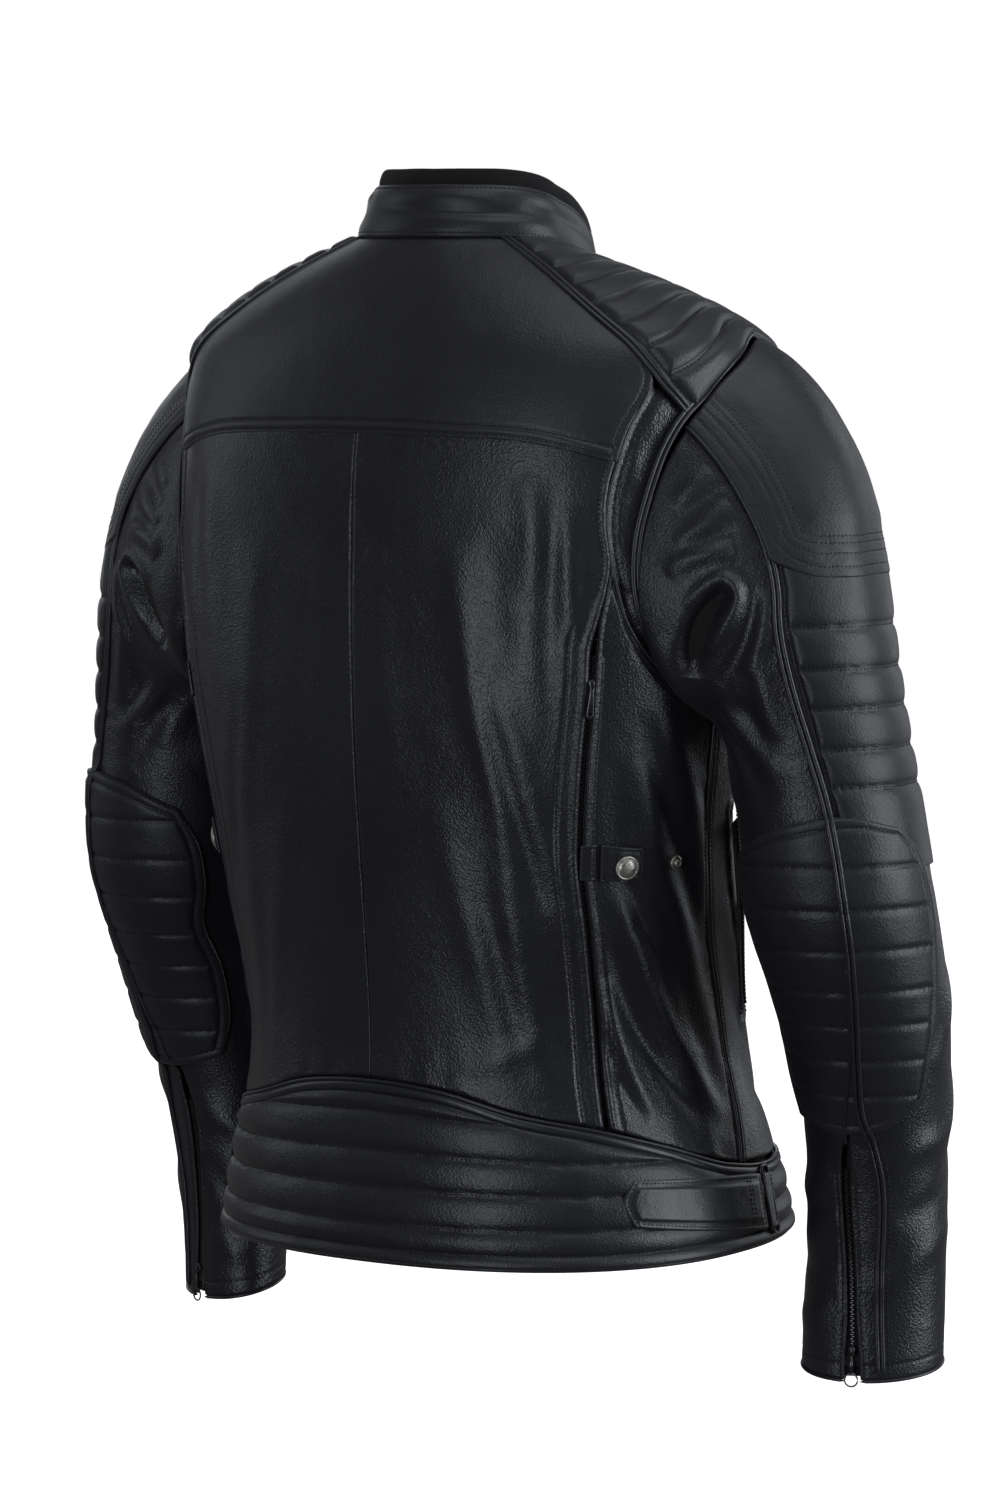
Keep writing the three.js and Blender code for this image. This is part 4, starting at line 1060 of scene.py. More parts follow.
def make_front_panel(side):
    edge = 180 - FRONT_HALF_GAP / TORSO_DEGREE
    outer = [*SIDE_SEAM, *ARMHOLE_FRONT[1:], *PIPING_FRONT[1:-1], [131, 3]]
    region = coons(
        TORSO, curve(outer), curve([[edge, -612], [edge, 3]]),
        curve([[93.5, -608], [120, -612], [edge, -612]]), curve([[131, 3], [edge, 3]]),
    )
    panel = torso_panel("front", region, side, pitch=PITCH * 1.25)
    panel.height -= front_hollow(panel.u, panel.v)
    panel.pucker("left", 0.6, 12, 12, 11)
    panel.pucker("right", 0.4, 12, 9, 12)
    panel.pucker("bottom", 0.9, 14, 16, 13)
    panel.roll("left", 1.2, 2.6)
    panel.roll("right", 1.8, 2.6)
    panel.stitch("left", 5.0, (0, 0.98))
    panel.stitch("right", 3.2, (0, 0.96))
    panel.stitch("right", 9.5, (0, 0.96))
    pocket = [[99, -372], [112, -514]]
    line, _ = laid(TORSO, pocket)
    gap, _ = nearest(panel.base, line)
    panel.height -= 2.6 * np.exp(-((gap / 2.6) ** 2)) - 1.0 * np.exp(-(((gap - 6) / 3) ** 2))
    panel.groove(gap - 9, 0.6, 1.2)
    panel.roll("top", 2.5, 5)
    panel.roll("bottom", 1.2, 3)
    piece("front_leather", panel, "body", side, "torso", "body_leather", "front_panel")
    for shift in (-2.7, 2.7):
        line, normals = laid(TORSO, shifted(pocket, shift), [panel], 0.2)
        sew(side, "torso", line, normals)


def make_shoulder_quilt(side):
    region = coons(
        TORSO, curve(PIPING_BACK), curve(PIPING_FRONT), curve(ARMHOLE_TOP),
        curve([[49, 3], [90, 3], [131, 3]]),
    )
    panel = Panel(TORSO, region, PITCH * 0.6, 0.4)
    ribs = 8
    share = panel.up * ribs
    gap = np.abs(share - np.round(share)) * panel.length / ribs
    border = np.minimum(panel.edges["left"], panel.edges["right"]) - 6.5
    inner = np.minimum(gap, np.maximum(border, 0))
    panel.wrinkle(0.25, 16, 8 if side == "right" else 9)
    quilt(panel, inner, 4.7, 8.5)
    quilt(panel, np.maximum(-border, 0), 1.3, 4)
    for edge in ("left", "right"):
        panel.roll(edge, 1.2, 2)
    panel.roll("bottom", 1.6, 3)
    panel.roll("top", 2.5, 4)
    torso_panels["quilt", side] = panel
    place = (side, "torso", "quilt_leather")
    piece("shoulder_quilt_leather", panel, "quilt", *place, "shoulder_quilt", padded=0.6)
    for k in range(1, ribs):
        sew(side, "torso", *level_line(panel, share, k, (0.04, 0.96)))
    for edge in ("left", "right"):
        sew(side, "torso", *panel.line_at(edge, 6.5, (0.03, 0.97)))


def make_side_seams(side):
    """Cords along the seams of one side: shoulder, armhole, action gusset and side."""
    near = [torso_panels[key] for key in torso_panels if key[1] in (side, "centre")]
    parts = []
    for points in (PIPING_BACK, PIPING_FRONT):
        line, normals = laid(TORSO, points, (), 1.5, (0.02, 1))
        inwards = 1 if points is PIPING_BACK else -1
        parts += ridge(line, normals, [(0, 1.5, 1.5), (3.6 * inwards, 1.7, 1.3)])
    plain("shoulder_piping", parts, "piping", side, "torso", "body_leather")
    loop = [*ARMHOLE_BACK, *ARMHOLE_TOP[1:]]
    parts = []
    for points, inwards in ((loop, 1), (ARMHOLE_FRONT, -1)):
        line, normals = laid(TORSO, points, (), 1.2)
        parts += ridge(line, normals, [(0, 1.5, 1.5), (-3.4 * inwards, 1.7, 1.3)])
    plain("armhole_piping", parts, "piping", side, "torso", "body_leather")
    line, normals = laid(TORSO, CRESCENT, near, -0.2)
    parts = ridge(line, normals, [(0, 1.2, 1.0)])
    line, normals = laid(TORSO, SIDE_SEAM, near, 0.1)
    parts += ridge(line, normals, [(-1.3, 1.1, 1.0), (1.6, 1.5, 1.3)])
    plain("gusset_and_side_piping", parts, "piping", side, "torso", "body_leather")
    sew(side, "torso", *laid(TORSO, [[46.2, -255], [51, -253.5], [55.6, -255]], near, 0.1))


def make_waistband():
    end = 180 - WAISTBAND_HALF_GAP / TORSO_DEGREE
    top = [*WAIST_SEAM[:-1], [end, -614]]
    region = coons(
        TORSO, curve([[-end, HEM], [-end, -614]]), curve([[end, HEM], [end, -614]]),
        curve([[-end, HEM], [0, HEM], [end, HEM]]), curve(both_sides(top)),
    )
    panel = Panel(TORSO, region, PITCH * 0.8, 0.8)
    level = panel.v + 0.16 * np.abs(panel.u) * smooth(-640, -560, panel.v)
    lines = [-654.5, -639, -615.5, -591.5, -566]
    gap = np.min([np.abs(level - line) for line in lines], axis=0)
    gap = np.minimum(gap, panel.edges["top"] - 7)
    panel.wrinkle(0.5, 45, 11)
    quilt(panel, np.maximum(gap, 0), 3.8, 11)
    ripple = noise(np.stack([panel.u * TORSO_DEGREE, level * 0.35, 0 * level], -1), 17, 12)
    panel.height += 0.55 * ripple * np.exp(-gap / 7)
    panel.roll("top", 1.8, 3)
    panel.roll("bottom", 2.4, 5)
    panel.roll("left", 1.6, 3)
    panel.roll("right", 1.6, 3)
    torso_panels["waist", "centre"] = panel
    place = ("centre", "torso", "band_leather")
    piece("waistband_leather", panel, "band", *place, "waistband", padded=0.5, thickness=2.4)
    for line in lines:
        sew("centre", "torso", *level_line(panel, level, line, (0.01, 0.99)))
    line, normals = laid(TORSO, both_sides(top), (), 1.6)
    plain("waist_piping", ridge(line, normals, [(0, 1.2, 1.4), (4.2, 2.9, 1.7)]), "piping", *place)
    hem, normals = laid(TORSO, [[-end, HEM], [0, HEM], [end, HEM]], (), -0.6)
    plain("hem_binding", ridge(hem, normals, [(0, 1.6, 1.8)]), "piping", *place)


COLLAR_FOLDS = [
    ([(-30, 0.42), (0, 0.38), (40, 0.34), (75, 0.36)], -2.2, 3.6),
    ([(-20, 0.55), (15, 0.56), (45, 0.52)], 1.5, 4.5),
    ([(-75, 0.4), (-62, 0.3), (-50, 0.34)], -1.6, 4),
    ([(-66, 0.62), (-55, 0.55), (-46, 0.6)], 1.2, 4),
    ([(60, 0.5), (95, 0.44), (130, 0.5)], -1.4, 4),
    ([(20, 0.22), (50, 0.2), (85, 0.22)], 1.0, 4),
]


def round_region(skin, end, low, high):
    """A region round the body between two levels, from one angle either side of the front."""
    line = lambda points: curve(points, skin.scale)
    return coons(
        skin, line([[-end, low], [-end, high]]), line([[end, low], [end, high]]),
        line([[-end, low], [0, low], [end, low]]), line([[-end, high], [0, high], [end, high]]),
    )


def make_collar():
    panel = Panel(COLLAR, round_region(COLLAR, COLLAR_END, 0.0, COLLAR_EDGE), PITCH * 0.5, 2.6)
    panel.fold(COLLAR_FOLDS)
    panel.wrinkle(0.3, 30, 14)
    panel.wrinkle(0.08, 12, 15)
    panel.puff(1.0, 9, ("bottom", "top"))
    panel.pucker("top", 0.3, 8, 6, 16)
    panel.pucker("bottom", 0.3, 8, 6, 17)
    panel.roll("top", 2.6, 3)
    panel.roll("bottom", 2.2, 2.6)
    panel.stitch("top", 3.4, (0.01, 0.99), 0.45)
    panel.stitch("bottom", 3.4, (0.01, 0.99), 0.45)
    for edge in ("left", "right"):
        panel.roll(edge, 2, 3)
    piece("collar_leather", panel, "collar", "centre", "torso", "collar_leather", "collar_band", thickness=3.4)
    lining = Panel(COLLAR, round_region(COLLAR, COLLAR_END, -0.1, 1.0), PITCH * 0.7, -0.8)
    lining.height += 2.4 * smooth(COLLAR_EDGE - 0.12, COLLAR_EDGE + 0.1, lining.v)
    lining.wrinkle(0.5, 18, 18)
    lining.roll("top", 3.2, 3.6)
    place = ("centre", "torso", "lining")
    piece("collar_knit_lining", lining, "collar_fabric", *place, "collar_lining", thickness=3.4)


ARMHOLE_MIDDLE = np.array([0, -6, -186])
ARMHOLE_SPAN = [1, 88, 100]  # half its width fore and aft, and half its height
ARMHOLE_INNER = 120  # the lining is only cut away this far out


def make_torso_lining():
    panel = Panel(TORSO, round_region(TORSO, LINING_END, HEM + 6, -6), PITCH * 2.2, -7.5)
    panel.wrinkle(1.2, 40, 21)
    panel.height += 4.6 * np.exp(-panel.edges["bottom"] / 14)
    panel.height -= front_hollow(panel.u, panel.v)
    points, faces = panel.surface().reshape(-1, 3), grid_faces(panel.columns, panel.rows)
    place = points[faces].mean(1)
    spread = (place - ARMHOLE_MIDDLE) / ARMHOLE_SPAN
    keep = (spread[:, 1] ** 2 + spread[:, 2] ** 2 > 1) | (np.abs(place[:, 0]) < ARMHOLE_INNER)
    obj = make_object("mesh_torso_lining", points, faces[keep], LOOKS["lining"], "centre")
    bind(obj, "torso", "centre")
    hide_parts("torso_lining")
    declare_sheet(obj, panel, "hung", 0.1, rests_on=["collar_leather", "waistband_leather"])


# ------------------------------------------------------------------ sleeves
# Soft folds of a sleeve as (angle and share, height, half width), for the wearer's right.
SLEEVE_FOLDS = [
    ([(91.5, 0.062), (82, 0.075), (74.5, 0.095), (64.5, 0.128)], 4.6, 6.5),
    (
        [
            (95, 0.112), (90.5, 0.115), (81, 0.125), (75, 0.135), (72.5, 0.147), (72.5, 0.168),
            (77.5, 0.177), (86.5, 0.182), (101.5, 0.184),
        ],
        5.2, 4.8,
    ),
    ([(73.5, 0.154), (83, 0.147), (94, 0.146), (108, 0.155), (122, 0.168)], -13.0, 7),
    ([(80, 0.055), (68, 0.077), (56, 0.09)], 3.2, 6),
    ([(70, 0.033), (61.5, 0.043), (54, 0.05)], 2.4, 6),
    ([(83.5, 0.06), (71.5, 0.088), (59, 0.118)], -2.6, 5),
    ([(74.5, 0.043), (62.5, 0.062), (54, 0.075)], -2.2, 5),
    ([(59.5, 0.193), (74, 0.235), (87.5, 0.265)], 2.8, 6),
    ([(65.5, 0.173), (71, 0.203), (86.5, 0.23), (108.5, 0.242)], -3.0, 6),
    ([(79, 0.25), (82.5, 0.31), (83, 0.37)], 3.0, 8),
    ([(103, 0.285), (97.5, 0.33), (88.5, 0.39)], -3.0, 8),
    ([(115.5, 0.263), (109.5, 0.343), (83.5, 0.408)], 3.2, 8),
    ([(125, 0.33), (110, 0.39), (92, 0.43)], -2.4, 8),
    ([(160, 0.27), (135, 0.34), (112, 0.41)], 2.8, 9),
    ([(140, 0.43), (170, 0.38), (205, 0.3)], 3.0, 9),
    ([(120, 0.06), (150, 0.1), (180, 0.12)], 3.0, 10),
    ([(190, 0.45), (230, 0.42), (270, 0.45), (310, 0.43)], 3.2, 8),
    ([(190, 0.5), (235, 0.48), (280, 0.5), (312, 0.49)], -3.2, 7),
    ([(180, 0.55), (230, 0.54), (280, 0.56), (312, 0.53)], 3.4, 8),
    ([(185, 0.6), (230, 0.6), (270, 0.62)], -2.8, 7),
    ([(160, 0.5), (185, 0.53), (210, 0.52)], 2.6, 7),
    ([(150, 0.62), (175, 0.66), (205, 0.65)], 2.8, 8),
    ([(148, 0.68), (180, 0.73), (215, 0.72)], -2.4, 8),
    ([(100, 0.8), (130, 0.83), (165, 0.82)], 2.6, 9),
    ([(92, 0.86), (125, 0.9), (160, 0.89)], -2.0, 9),
    ([(96, 0.93), (120, 0.95), (150, 0.94)], 1.8, 8),
    ([(-40, 0.62), (-15, 0.66), (10, 0.7)], 2.2, 8),
    ([(-45, 0.72), (-10, 0.77), (30, 0.78), (55, 0.8)], 2.8, 9),
    ([(-45, 0.78), (0, 0.83), (45, 0.85)], -2.4, 9),
    ([(-30, 0.86), (15, 0.88), (60, 0.92)], 2.0, 9),
    ([(220, 0.3), (255, 0.25), (290, 0.22)], 2.2, 10),
]
SEAM_STRIP = 9.0  # flat strip beside the main seam, out to its row of stitches
PAD_RIBS = [-397, -424, -450, -477, -500, -524, -548]
SLEEVE_RIBS = [-245, -272, -297, -323, -347]
PAD_OUTLINE = {
    "left": [[13, 0.464], [-2, 0.492], [-8, 0.532], [-1, 0.598], [12, 0.66], [25, 0.723]],
    "right": [[128, 0.466], [141, 0.503], [143, 0.545], [137, 0.585], [142, 0.64], [139, 0.705], [128, 0.746]],
    "bottom": [[13, 0.464], [45, 0.445], [88, 0.445], [128, 0.466]],
    "top": [[25, 0.723], [55, 0.75], [79, 0.755], [128, 0.746]],
}


def by_share(points):
    shares = [p[1] for p in points]
    return lambda share: spline(shares, points, np.asarray(share, float))[..., 0]


def by_angle(points):
    angles = [p[0] for p in points]
    return lambda angle: spline(angles, points, np.asarray(angle, float))[..., 1]


main_seam = by_share([*MAIN_SEAM, *LOWER_SEAM[1:]])
front_seam = by_share(FRONT_SEAM)
cuff_seam = by_share(CUFF_SEAM)
cap_seam = by_angle(CAP_SEAM)


def front_seam_behind(share):
    return front_seam(share) + 360


def cuff_opening(share):
    """Degrees from the cuff's seam to a lip of its zip, and more towards the hem, where the lips part."""
    return CUFF_HALF_ANGLE * smooth(0.74, 0.79, share) + 3.2 * smooth(0.93, 1.0, share)


def cuff_hem(angle):
    """Share of the sleeve's length where it ends, which is lowest at the zip."""
    return 0.996 - 0.011 * (1 - np.cos(np.radians(np.asarray(angle, float) - 75)))


def sleeve_start(angle):
    return 0 * angle + SLEEVE_START


def sleeve_cut(angle):
    """Share of the sleeve's length where it passes the height of its cut."""
    low, high = np.full(np.shape(angle), 0.3), np.full(np.shape(angle), 0.8)
    for _ in range(20):
        middle = (low + high) / 2
        above = sleeve(angle, middle)[..., 2] > SLEEVE_CUT
        low, high = np.where(above, middle, low), np.where(above, high, middle)
    return low


def arm_region(left, right, low, high):
    """A strip round the arm between two angles by share and two shares by angle, settled in turn."""

    def region(across, up):
        share = up
        for _ in range(6):
            angle = blend(left(share), right(share), across)
            share = blend(low(angle), high(angle), up)
        return angle, share

    return region


def arm_line(seam, low, high, beside=0.0):
    """Surface points down a sleeve's seam, or some degrees beside it, from one share to another."""
    shares = np.linspace(low, high, 12)
    return np.stack([seam(shares) + beside, shares], axis=1)


def corner_line(panel, field, value):
    """The line where a field has a value, down the right edge and back along the top one."""
    p, n = panel.surface(), panel.facing()
    right, top = panel.edges["right"], panel.edges["top"]
    line, normals = [], []

    def cross(f, rows, near):
        """First place along a run, from its near end, where the field reaches the value."""
        hit = np.nonzero((f[:-1] < value) & (f[1:] >= value))[0]
        if not len(hit):
            return
        k = hit[0]
        t = (value - f[k]) / max(f[k + 1] - f[k], 1e-9)
        found = [blend(row[k], row[k + 1], t) for row in rows]
        if near(found[2], found[3]):
            line.append(found[0])
            normals.append(found[1])

    for j in range(panel.rows + 1):
        cross(field[j, ::-1], [a[j, ::-1] for a in (p, n, right, top)], lambda a, b: a <= b)
    for i in range(panel.columns, -1, -1):
        cross(field[::-1, i], [a[::-1, i] for a in (p, n, right, top)], lambda a, b: a > b)
    return np.array(line), np.array(normals)


def rounded_gap(panel, radius):
    """Distance from the right and top edges, with the corner between them rounded."""
    a, b = panel.edges["right"], panel.edges["top"]
    u, v = np.maximum(radius - a, 0), np.maximum(radius - b, 0)
    return np.where((a < radius) & (b < radius), radius - np.hypot(u, v), np.minimum(a, b))


def arm_panel(region, side, lift=0.0, pitch=PITCH):
    panel = Panel(SLEEVE, region, pitch, lift)
    panel.fold(SLEEVE_FOLDS)
    seed = 31 if side == "right" else 37
    panel.wrinkle(0.35, 34, seed)
    panel.wrinkle(0.12, 11, seed + 1)
    return panel


def make_shoulder_cap(side):
    region = arm_region(front_seam, main_seam, sleeve_start, cap_seam)
    panel = Panel(SLEEVE, region, PITCH * 0.55, 2.6)
    panel.wrinkle(0.35, 26, 41 if side == "right" else 43)
    panel.wrinkle(0.14, 10, 42)
    gap = rounded_gap(panel, 22)
    offsets = (8.0, 16.5, 23.0, 27.5)
    rows = np.min([np.abs(gap - offset) for offset in offsets], axis=0)
    quilt(panel, np.minimum(rows, panel.edges["bottom"] - 1.5).clip(0), 0.55, 2.2)
    panel.height += 1.2 * smooth(27.5, 42, gap) * smooth(4, 24, panel.edges["bottom"])
    panel.roll("top", 2.8, 2.4)
    panel.roll("right", 2.4, 2.4)
    panel.roll("left", 2.4, 2.6)
    panel.roll("bottom", 2.8, 3.4)
    panel.pucker("bottom", 0.5, 8, 9, 44)
    for offset in offsets:
        sew(side, "upper", *corner_line(panel, gap, offset))
    piece("shoulder_cap_leather", panel, "quilt", side, "upper", "sleeve_leather", "shoulder_cap", padded=0.5)
    return panel


def ribbed(panel, ribs, height, border=None, reach=11):
    """Rolls of padding between sewn lines at a list of heights."""
    z = panel.base[..., 2]
    gap = np.min([np.abs(z - rib) for rib in ribs], axis=0)
    gap = np.where((z > ribs[0] + 30) | (z < ribs[-1] - 30), 30, gap)
    if border is not None:
        gap = np.minimum(gap, np.maximum(border, 0))
    quilt(panel, gap, height, reach)


def make_upper_sleeve(side):
    region = arm_region(front_seam, main_seam, lambda a: cap_seam(a) - 0.012, sleeve_cut)
    panel = arm_panel(region, side, -0.8, PITCH * 0.75)
    panel.height -= fold_heights(SLEEVE, panel.base, SLEEVE_FOLDS) * 0.5
    ribbed(panel, SLEEVE_RIBS, 3.4, np.minimum(panel.edges["left"] - 1.5, panel.edges["right"] - SEAM_STRIP))
    panel.roll("left", 1.2, 2.4)
    panel.roll("right", 1.2, 2.2)
    panel.stitch("right", SEAM_STRIP)
    piece("upper_sleeve_leather", panel, "quilt", side, "upper", "quilt_leather", "upper_sleeve", padded=0.5)
    z = panel.base[..., 2]
    for rib in SLEEVE_RIBS:
        sew(side, "upper", *level_line(panel, -z, -rib, (0.03, 0.97)))
    return panel


def make_under_sleeve(side):
    region = arm_region(main_seam, front_seam_behind, sleeve_start, sleeve_cut)
    panel = arm_panel(region, side, pitch=PITCH * 0.8)
    panel.pucker("left", 0.6, 9, 12, 45)
    panel.pucker("bottom", 1.0, 9, 10, 46)
    panel.roll("left", 1.2, 2.4)
    panel.roll("right", 1.2, 2.4)
    panel.roll("bottom", 2.0, 3)
    obj = piece("under_sleeve_leather", panel, "sleeve", side, "upper", "sleeve_leather", "under_sleeve")
    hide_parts(f"sleeve_head_{side}")
    return panel


def make_forearm(side):
    """The two halves of the lower sleeve. Each is puckered and stitched along its lip of the cuff's zip."""
    panels = []
    outer = arm_region(front_seam, lambda s: cuff_seam(s) - cuff_opening(s), sleeve_cut, cuff_hem)
    under = arm_region(lambda s: cuff_seam(s) + cuff_opening(s), front_seam_behind, sleeve_cut, cuff_hem)
    for node, region, lip, amount, seed in (
        ("forearm_outer", outer, "right", 0.6, 47), ("forearm_under", under, "left", 0.7, 48),
    ):
        panel = arm_panel(region, side)
        panel.pucker(lip, amount, 10, 9, seed)
        for name in ("left", "right"):
            panel.roll(name, 1.4 if name == lip else 1.2, 2.4)
        panel.roll("top", 1.6, 2.6)
        panel.stitch("top", 10, (0.02, 0.98))
        panel.stitch(lip, 3.4, (0.62, 0.99))
        obj = piece(f"{node}_leather", panel, "sleeve", side, "lower", "sleeve_leather", node)
        panels.append(panel)
    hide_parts(f"elbow_crease_{side}")
    return panels


PAD_BORDER = 7.5  # from the elbow pad's edge to its row of stitches


def make_elbow_pad(side):
    line = lambda key: curve(PAD_OUTLINE[key], SLEEVE.scale)
    region = coons(SLEEVE, line("left"), line("right"), line("bottom"), line("top"))
    panel = Panel(SLEEVE, region, PITCH * 0.6, 4.2)
    edge = np.min([panel.edges[name] for name in panel.edges], axis=0)
    panel.wrinkle(0.3, 18, 51 if side == "right" else 53)
    ribbed(panel, PAD_RIBS, 2.1, edge - PAD_BORDER, 5)
    quilt(panel, np.maximum(PAD_BORDER - edge, 0), 1.3, 3.6)
    for name in panel.edges:
        panel.roll(name, 4.6, 2.6)
    place = (side, "lower", "quilt_leather")
    piece("elbow_pad_leather", panel, "quilt", *place, "elbow_pad", padded=0.7, thickness=2.6)
    z = panel.base[..., 2]
    for rib in PAD_RIBS:
        sew(side, "lower", *level_line(panel, -z, -rib, (0.04, 0.96)))
    for name in panel.edges:
        sew(side, "lower", *panel.line_at(name, PAD_BORDER, (0.04, 0.96)))
    return panel


def make_elbow_armour(side):
    line = lambda points: curve(points, SLEEVE.scale)
    region = coons(
        SLEEVE, line([[28, 0.56], [28, 0.71]]), line([[112, 0.56], [112, 0.71]]),
        line([[28, 0.56], [112, 0.56]]), line([[28, 0.71], [112, 0.71]]),
    )
    panel = Panel(SLEEVE, region, PITCH * 1.2, -5.6)
    for name in panel.edges:
        panel.roll(name, 2.5, 6)
    cells = np.minimum(np.abs(np.sin(panel.across * 26)), np.abs(np.sin(panel.up * 30)))
    panel.height -= 1.2 * (1 - smooth(0, 0.5, cells))
    points, faces = panel.mesh(5.2)
    obj = make_object(f"elbow_armour_foam_{side}", points, faces, LOOKS["foam"], side)
    bind(obj, "lower", side)
    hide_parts(f"elbow_armour_{side}")


def make_sleeve_linings(side):
    once_round = (lambda s: 0 * s, lambda s: 0 * s + 360)
    for name, how, low, high in (
        ("upper_sleeve_lining", "upper", lambda a: 0 * a + 0.02, sleeve_cut),
        ("forearm_lining", "lower", sleeve_cut, lambda a: cuff_hem(a) - 0.012),
    ):
        panel = Panel(SLEEVE, arm_region(*once_round, low, high), PITCH * 2, -7.5)
        pad = smooth(0.5, 0.56, panel.v) * (1 - smooth(0.72, 0.77, panel.v))
        pad = pad * smooth(0, 25, panel.u) * (1 - smooth(118, 140, panel.u))
        panel.height -= 7.5 * pad
        panel.height += 5.2 * smooth(0.035, 0.013, cuff_hem(panel.u) - panel.v)
        points, faces = panel.mesh(0.8)
        obj = make_object(f"{name}_{side}", points, faces, LOOKS["lining"], side)
        bind(obj, how, side)
        declare_sheet(obj, panel, "stretched")


def make_sleeve_seams(side, panels):
    """Cords down the sleeve's seams, over whatever they cross, and the cuff's binding."""
    for how, low, high in (("upper", 0.003, 0.525), ("lower", 0.505, 0.99)):
        line, normals = laid(SLEEVE, arm_line(main_seam, low, high), panels, 0.6, step=2.4)
        parts = ridge(line, normals, [(0, 1.5, 1.4), (-3.4, 1.6, 1.3)])
        ways = [arm_line(front_seam, low, high)]
        if how == "lower":
            ways.append(arm_line(cuff_seam, 0.57, 0.77))
            sew(side, how, *laid(SLEEVE, arm_line(main_seam, 0.765, high, -SEAM_STRIP), panels, 0.1))
        for way in ways:
            line, normals = laid(SLEEVE, way, panels, 0.2)
            parts += ridge(line, normals, [(0, 1.3, 1.1)])
        plain(f"{how}_sleeve_piping", parts, "piping", side, how, "sleeve_leather")
    zip_at, lip = float(cuff_seam(0.995)), float(cuff_opening(0.995))
    parts = []
    for first, last in ((float(front_seam(0.995)), zip_at - lip), (zip_at + lip, 300)):
        hem = [[u, float(cuff_hem(u)) + 0.001] for u in np.linspace(first, last, 9)]
        line, normals = laid(SLEEVE, hem, (), -0.9)
        parts += ridge(line, normals, [(0, 1.2, 1.5)])
    plain("cuff_binding", parts, "piping", side, f"forearm_{side}", "sleeve_leather")


# ------------------------------------------------------------------ zips
def stations(skin, way, share_low, share_high, height, step=2.0):
    """Points along a zip's centre line with their directions along, outwards and across."""
    rough = way(np.linspace(share_low, share_high, 30))
    length = np.linalg.norm(np.diff(skin.at(rough[:, 0], rough[:, 1]), axis=0), axis=1).sum()
    uv = way(np.linspace(share_low, share_high, max(int(length / step), 8)))
    point = skin.raised(uv[:, 0], uv[:, 1], np.full(len(uv), height))
    outward = skin.normal(uv[:, 0], uv[:, 1])
    along = unit(np.gradient(point, axis=0))
    outward = unit(outward - along * (outward * along).sum(-1, keepdims=True))
    return point, along, outward, np.cross(along, outward)


def make_tape(places, half, thick=0.9):
    """A woven strip, a little sunk in the middle under the teeth."""
    point, _, outward, across = places
    shares = np.linspace(-1, 1, 13)
    shape = 0.25 * np.abs(shares) ** 2
    top = point[:, None] + across[:, None] * (shares * half)[None, :, None]
    top = top + outward[:, None] * shape[None, :, None]
    points, faces = shell(top, top - outward[:, None] * thick)
    a, b, c = (points[faces[0][k]] for k in range(3))
    if np.cross(b - a, c - a) @ outward[0] < 0:
        faces = faces[:, ::-1]
    return points, faces


TOOTH = np.array([[-0.9, -0.42], [1.9, -0.5], [1.9, 0.5], [-0.9, 0.42]])


def make_teeth(places, pitch, size=1.0, foot=0.0, tall=1.7):
    """Two rows of metal teeth that mesh at the middle."""
    point, along, outward, across = places
    lengths = np.concatenate([[0], np.cumsum(np.linalg.norm(np.diff(point, axis=0), axis=1))])
    at = np.arange(0.8, lengths[-1] - 0.8, pitch)
    pick = lambda rows: np.stack([np.interp(at, lengths, rows[:, k]) for k in range(3)], axis=1)
    p, a, o, s = pick(point), unit(pick(along)), unit(pick(outward)), unit(pick(across))
    parts = []
    for i in range(len(at)):
        hand = 1 if i % 2 else -1
        rings = []
        for level, inset in ((foot, 1.0), (foot + tall * 0.75, 1.0), (foot + tall, 0.72)):
            for out, wide in TOOTH:
                rings.append(
                    p[i] + s[i] * (hand * (0.5 + (out - 0.5) * inset) * size)
                    + a[i] * (wide * inset * size * pitch * 0.8) + o[i] * level
                )
        faces = [[3, 2, 1, 0], [8, 9, 10, 11], *band_faces(0, 1, 4), *band_faces(1, 2, 4)]
        if hand < 0:
            faces = [f[::-1] for f in faces]
        parts.append((np.array(rings), faces))
    return outward_parts(parts)


def outward_parts(parts):
    """Turns each closed part's faces outwards."""
    done = []
    for points, faces in parts:
        points = np.asarray(points, float)
        centre = points.mean(0)
        total = 0.0
        for face in faces:
            q = points[list(face)] - centre
            for k in range(1, len(q) - 1):
                total += q[0] @ np.cross(q[k], q[k + 1])
        done.append((points, faces if total > 0 else [list(f)[::-1] for f in faces]))
    return done


def bevelled(outline, low, high, bevel):
    """Rings round a plate from an outline in x and y, from one height to another, with bevelled edges."""
    around = unit(np.roll(outline, -1, 0) - np.roll(outline, 1, 0))
    inward = np.stack([-around[:, 1], around[:, 0]], axis=1)
    if ((outline.mean(0) - outline) * inward).sum() < 0:
        inward = -inward
    levels = ((low, bevel), (low + bevel, 0), (high - bevel, 0), (high, bevel))
    return [np.column_stack([outline + inward * inset, np.full(len(outline), z)]) for z, inset in levels]


def slab(outline, low, high, bevel=0.35):
    """A plate with bevelled edges."""
    outline = np.asarray(outline, float)
    n = len(outline)
    faces = [list(range(n))[::-1], [3 * n + k for k in range(n)]]
    for r in range(3):
        faces += band_faces(r, r + 1, n)
    return np.concatenate(bevelled(outline, low, high, bevel)), faces


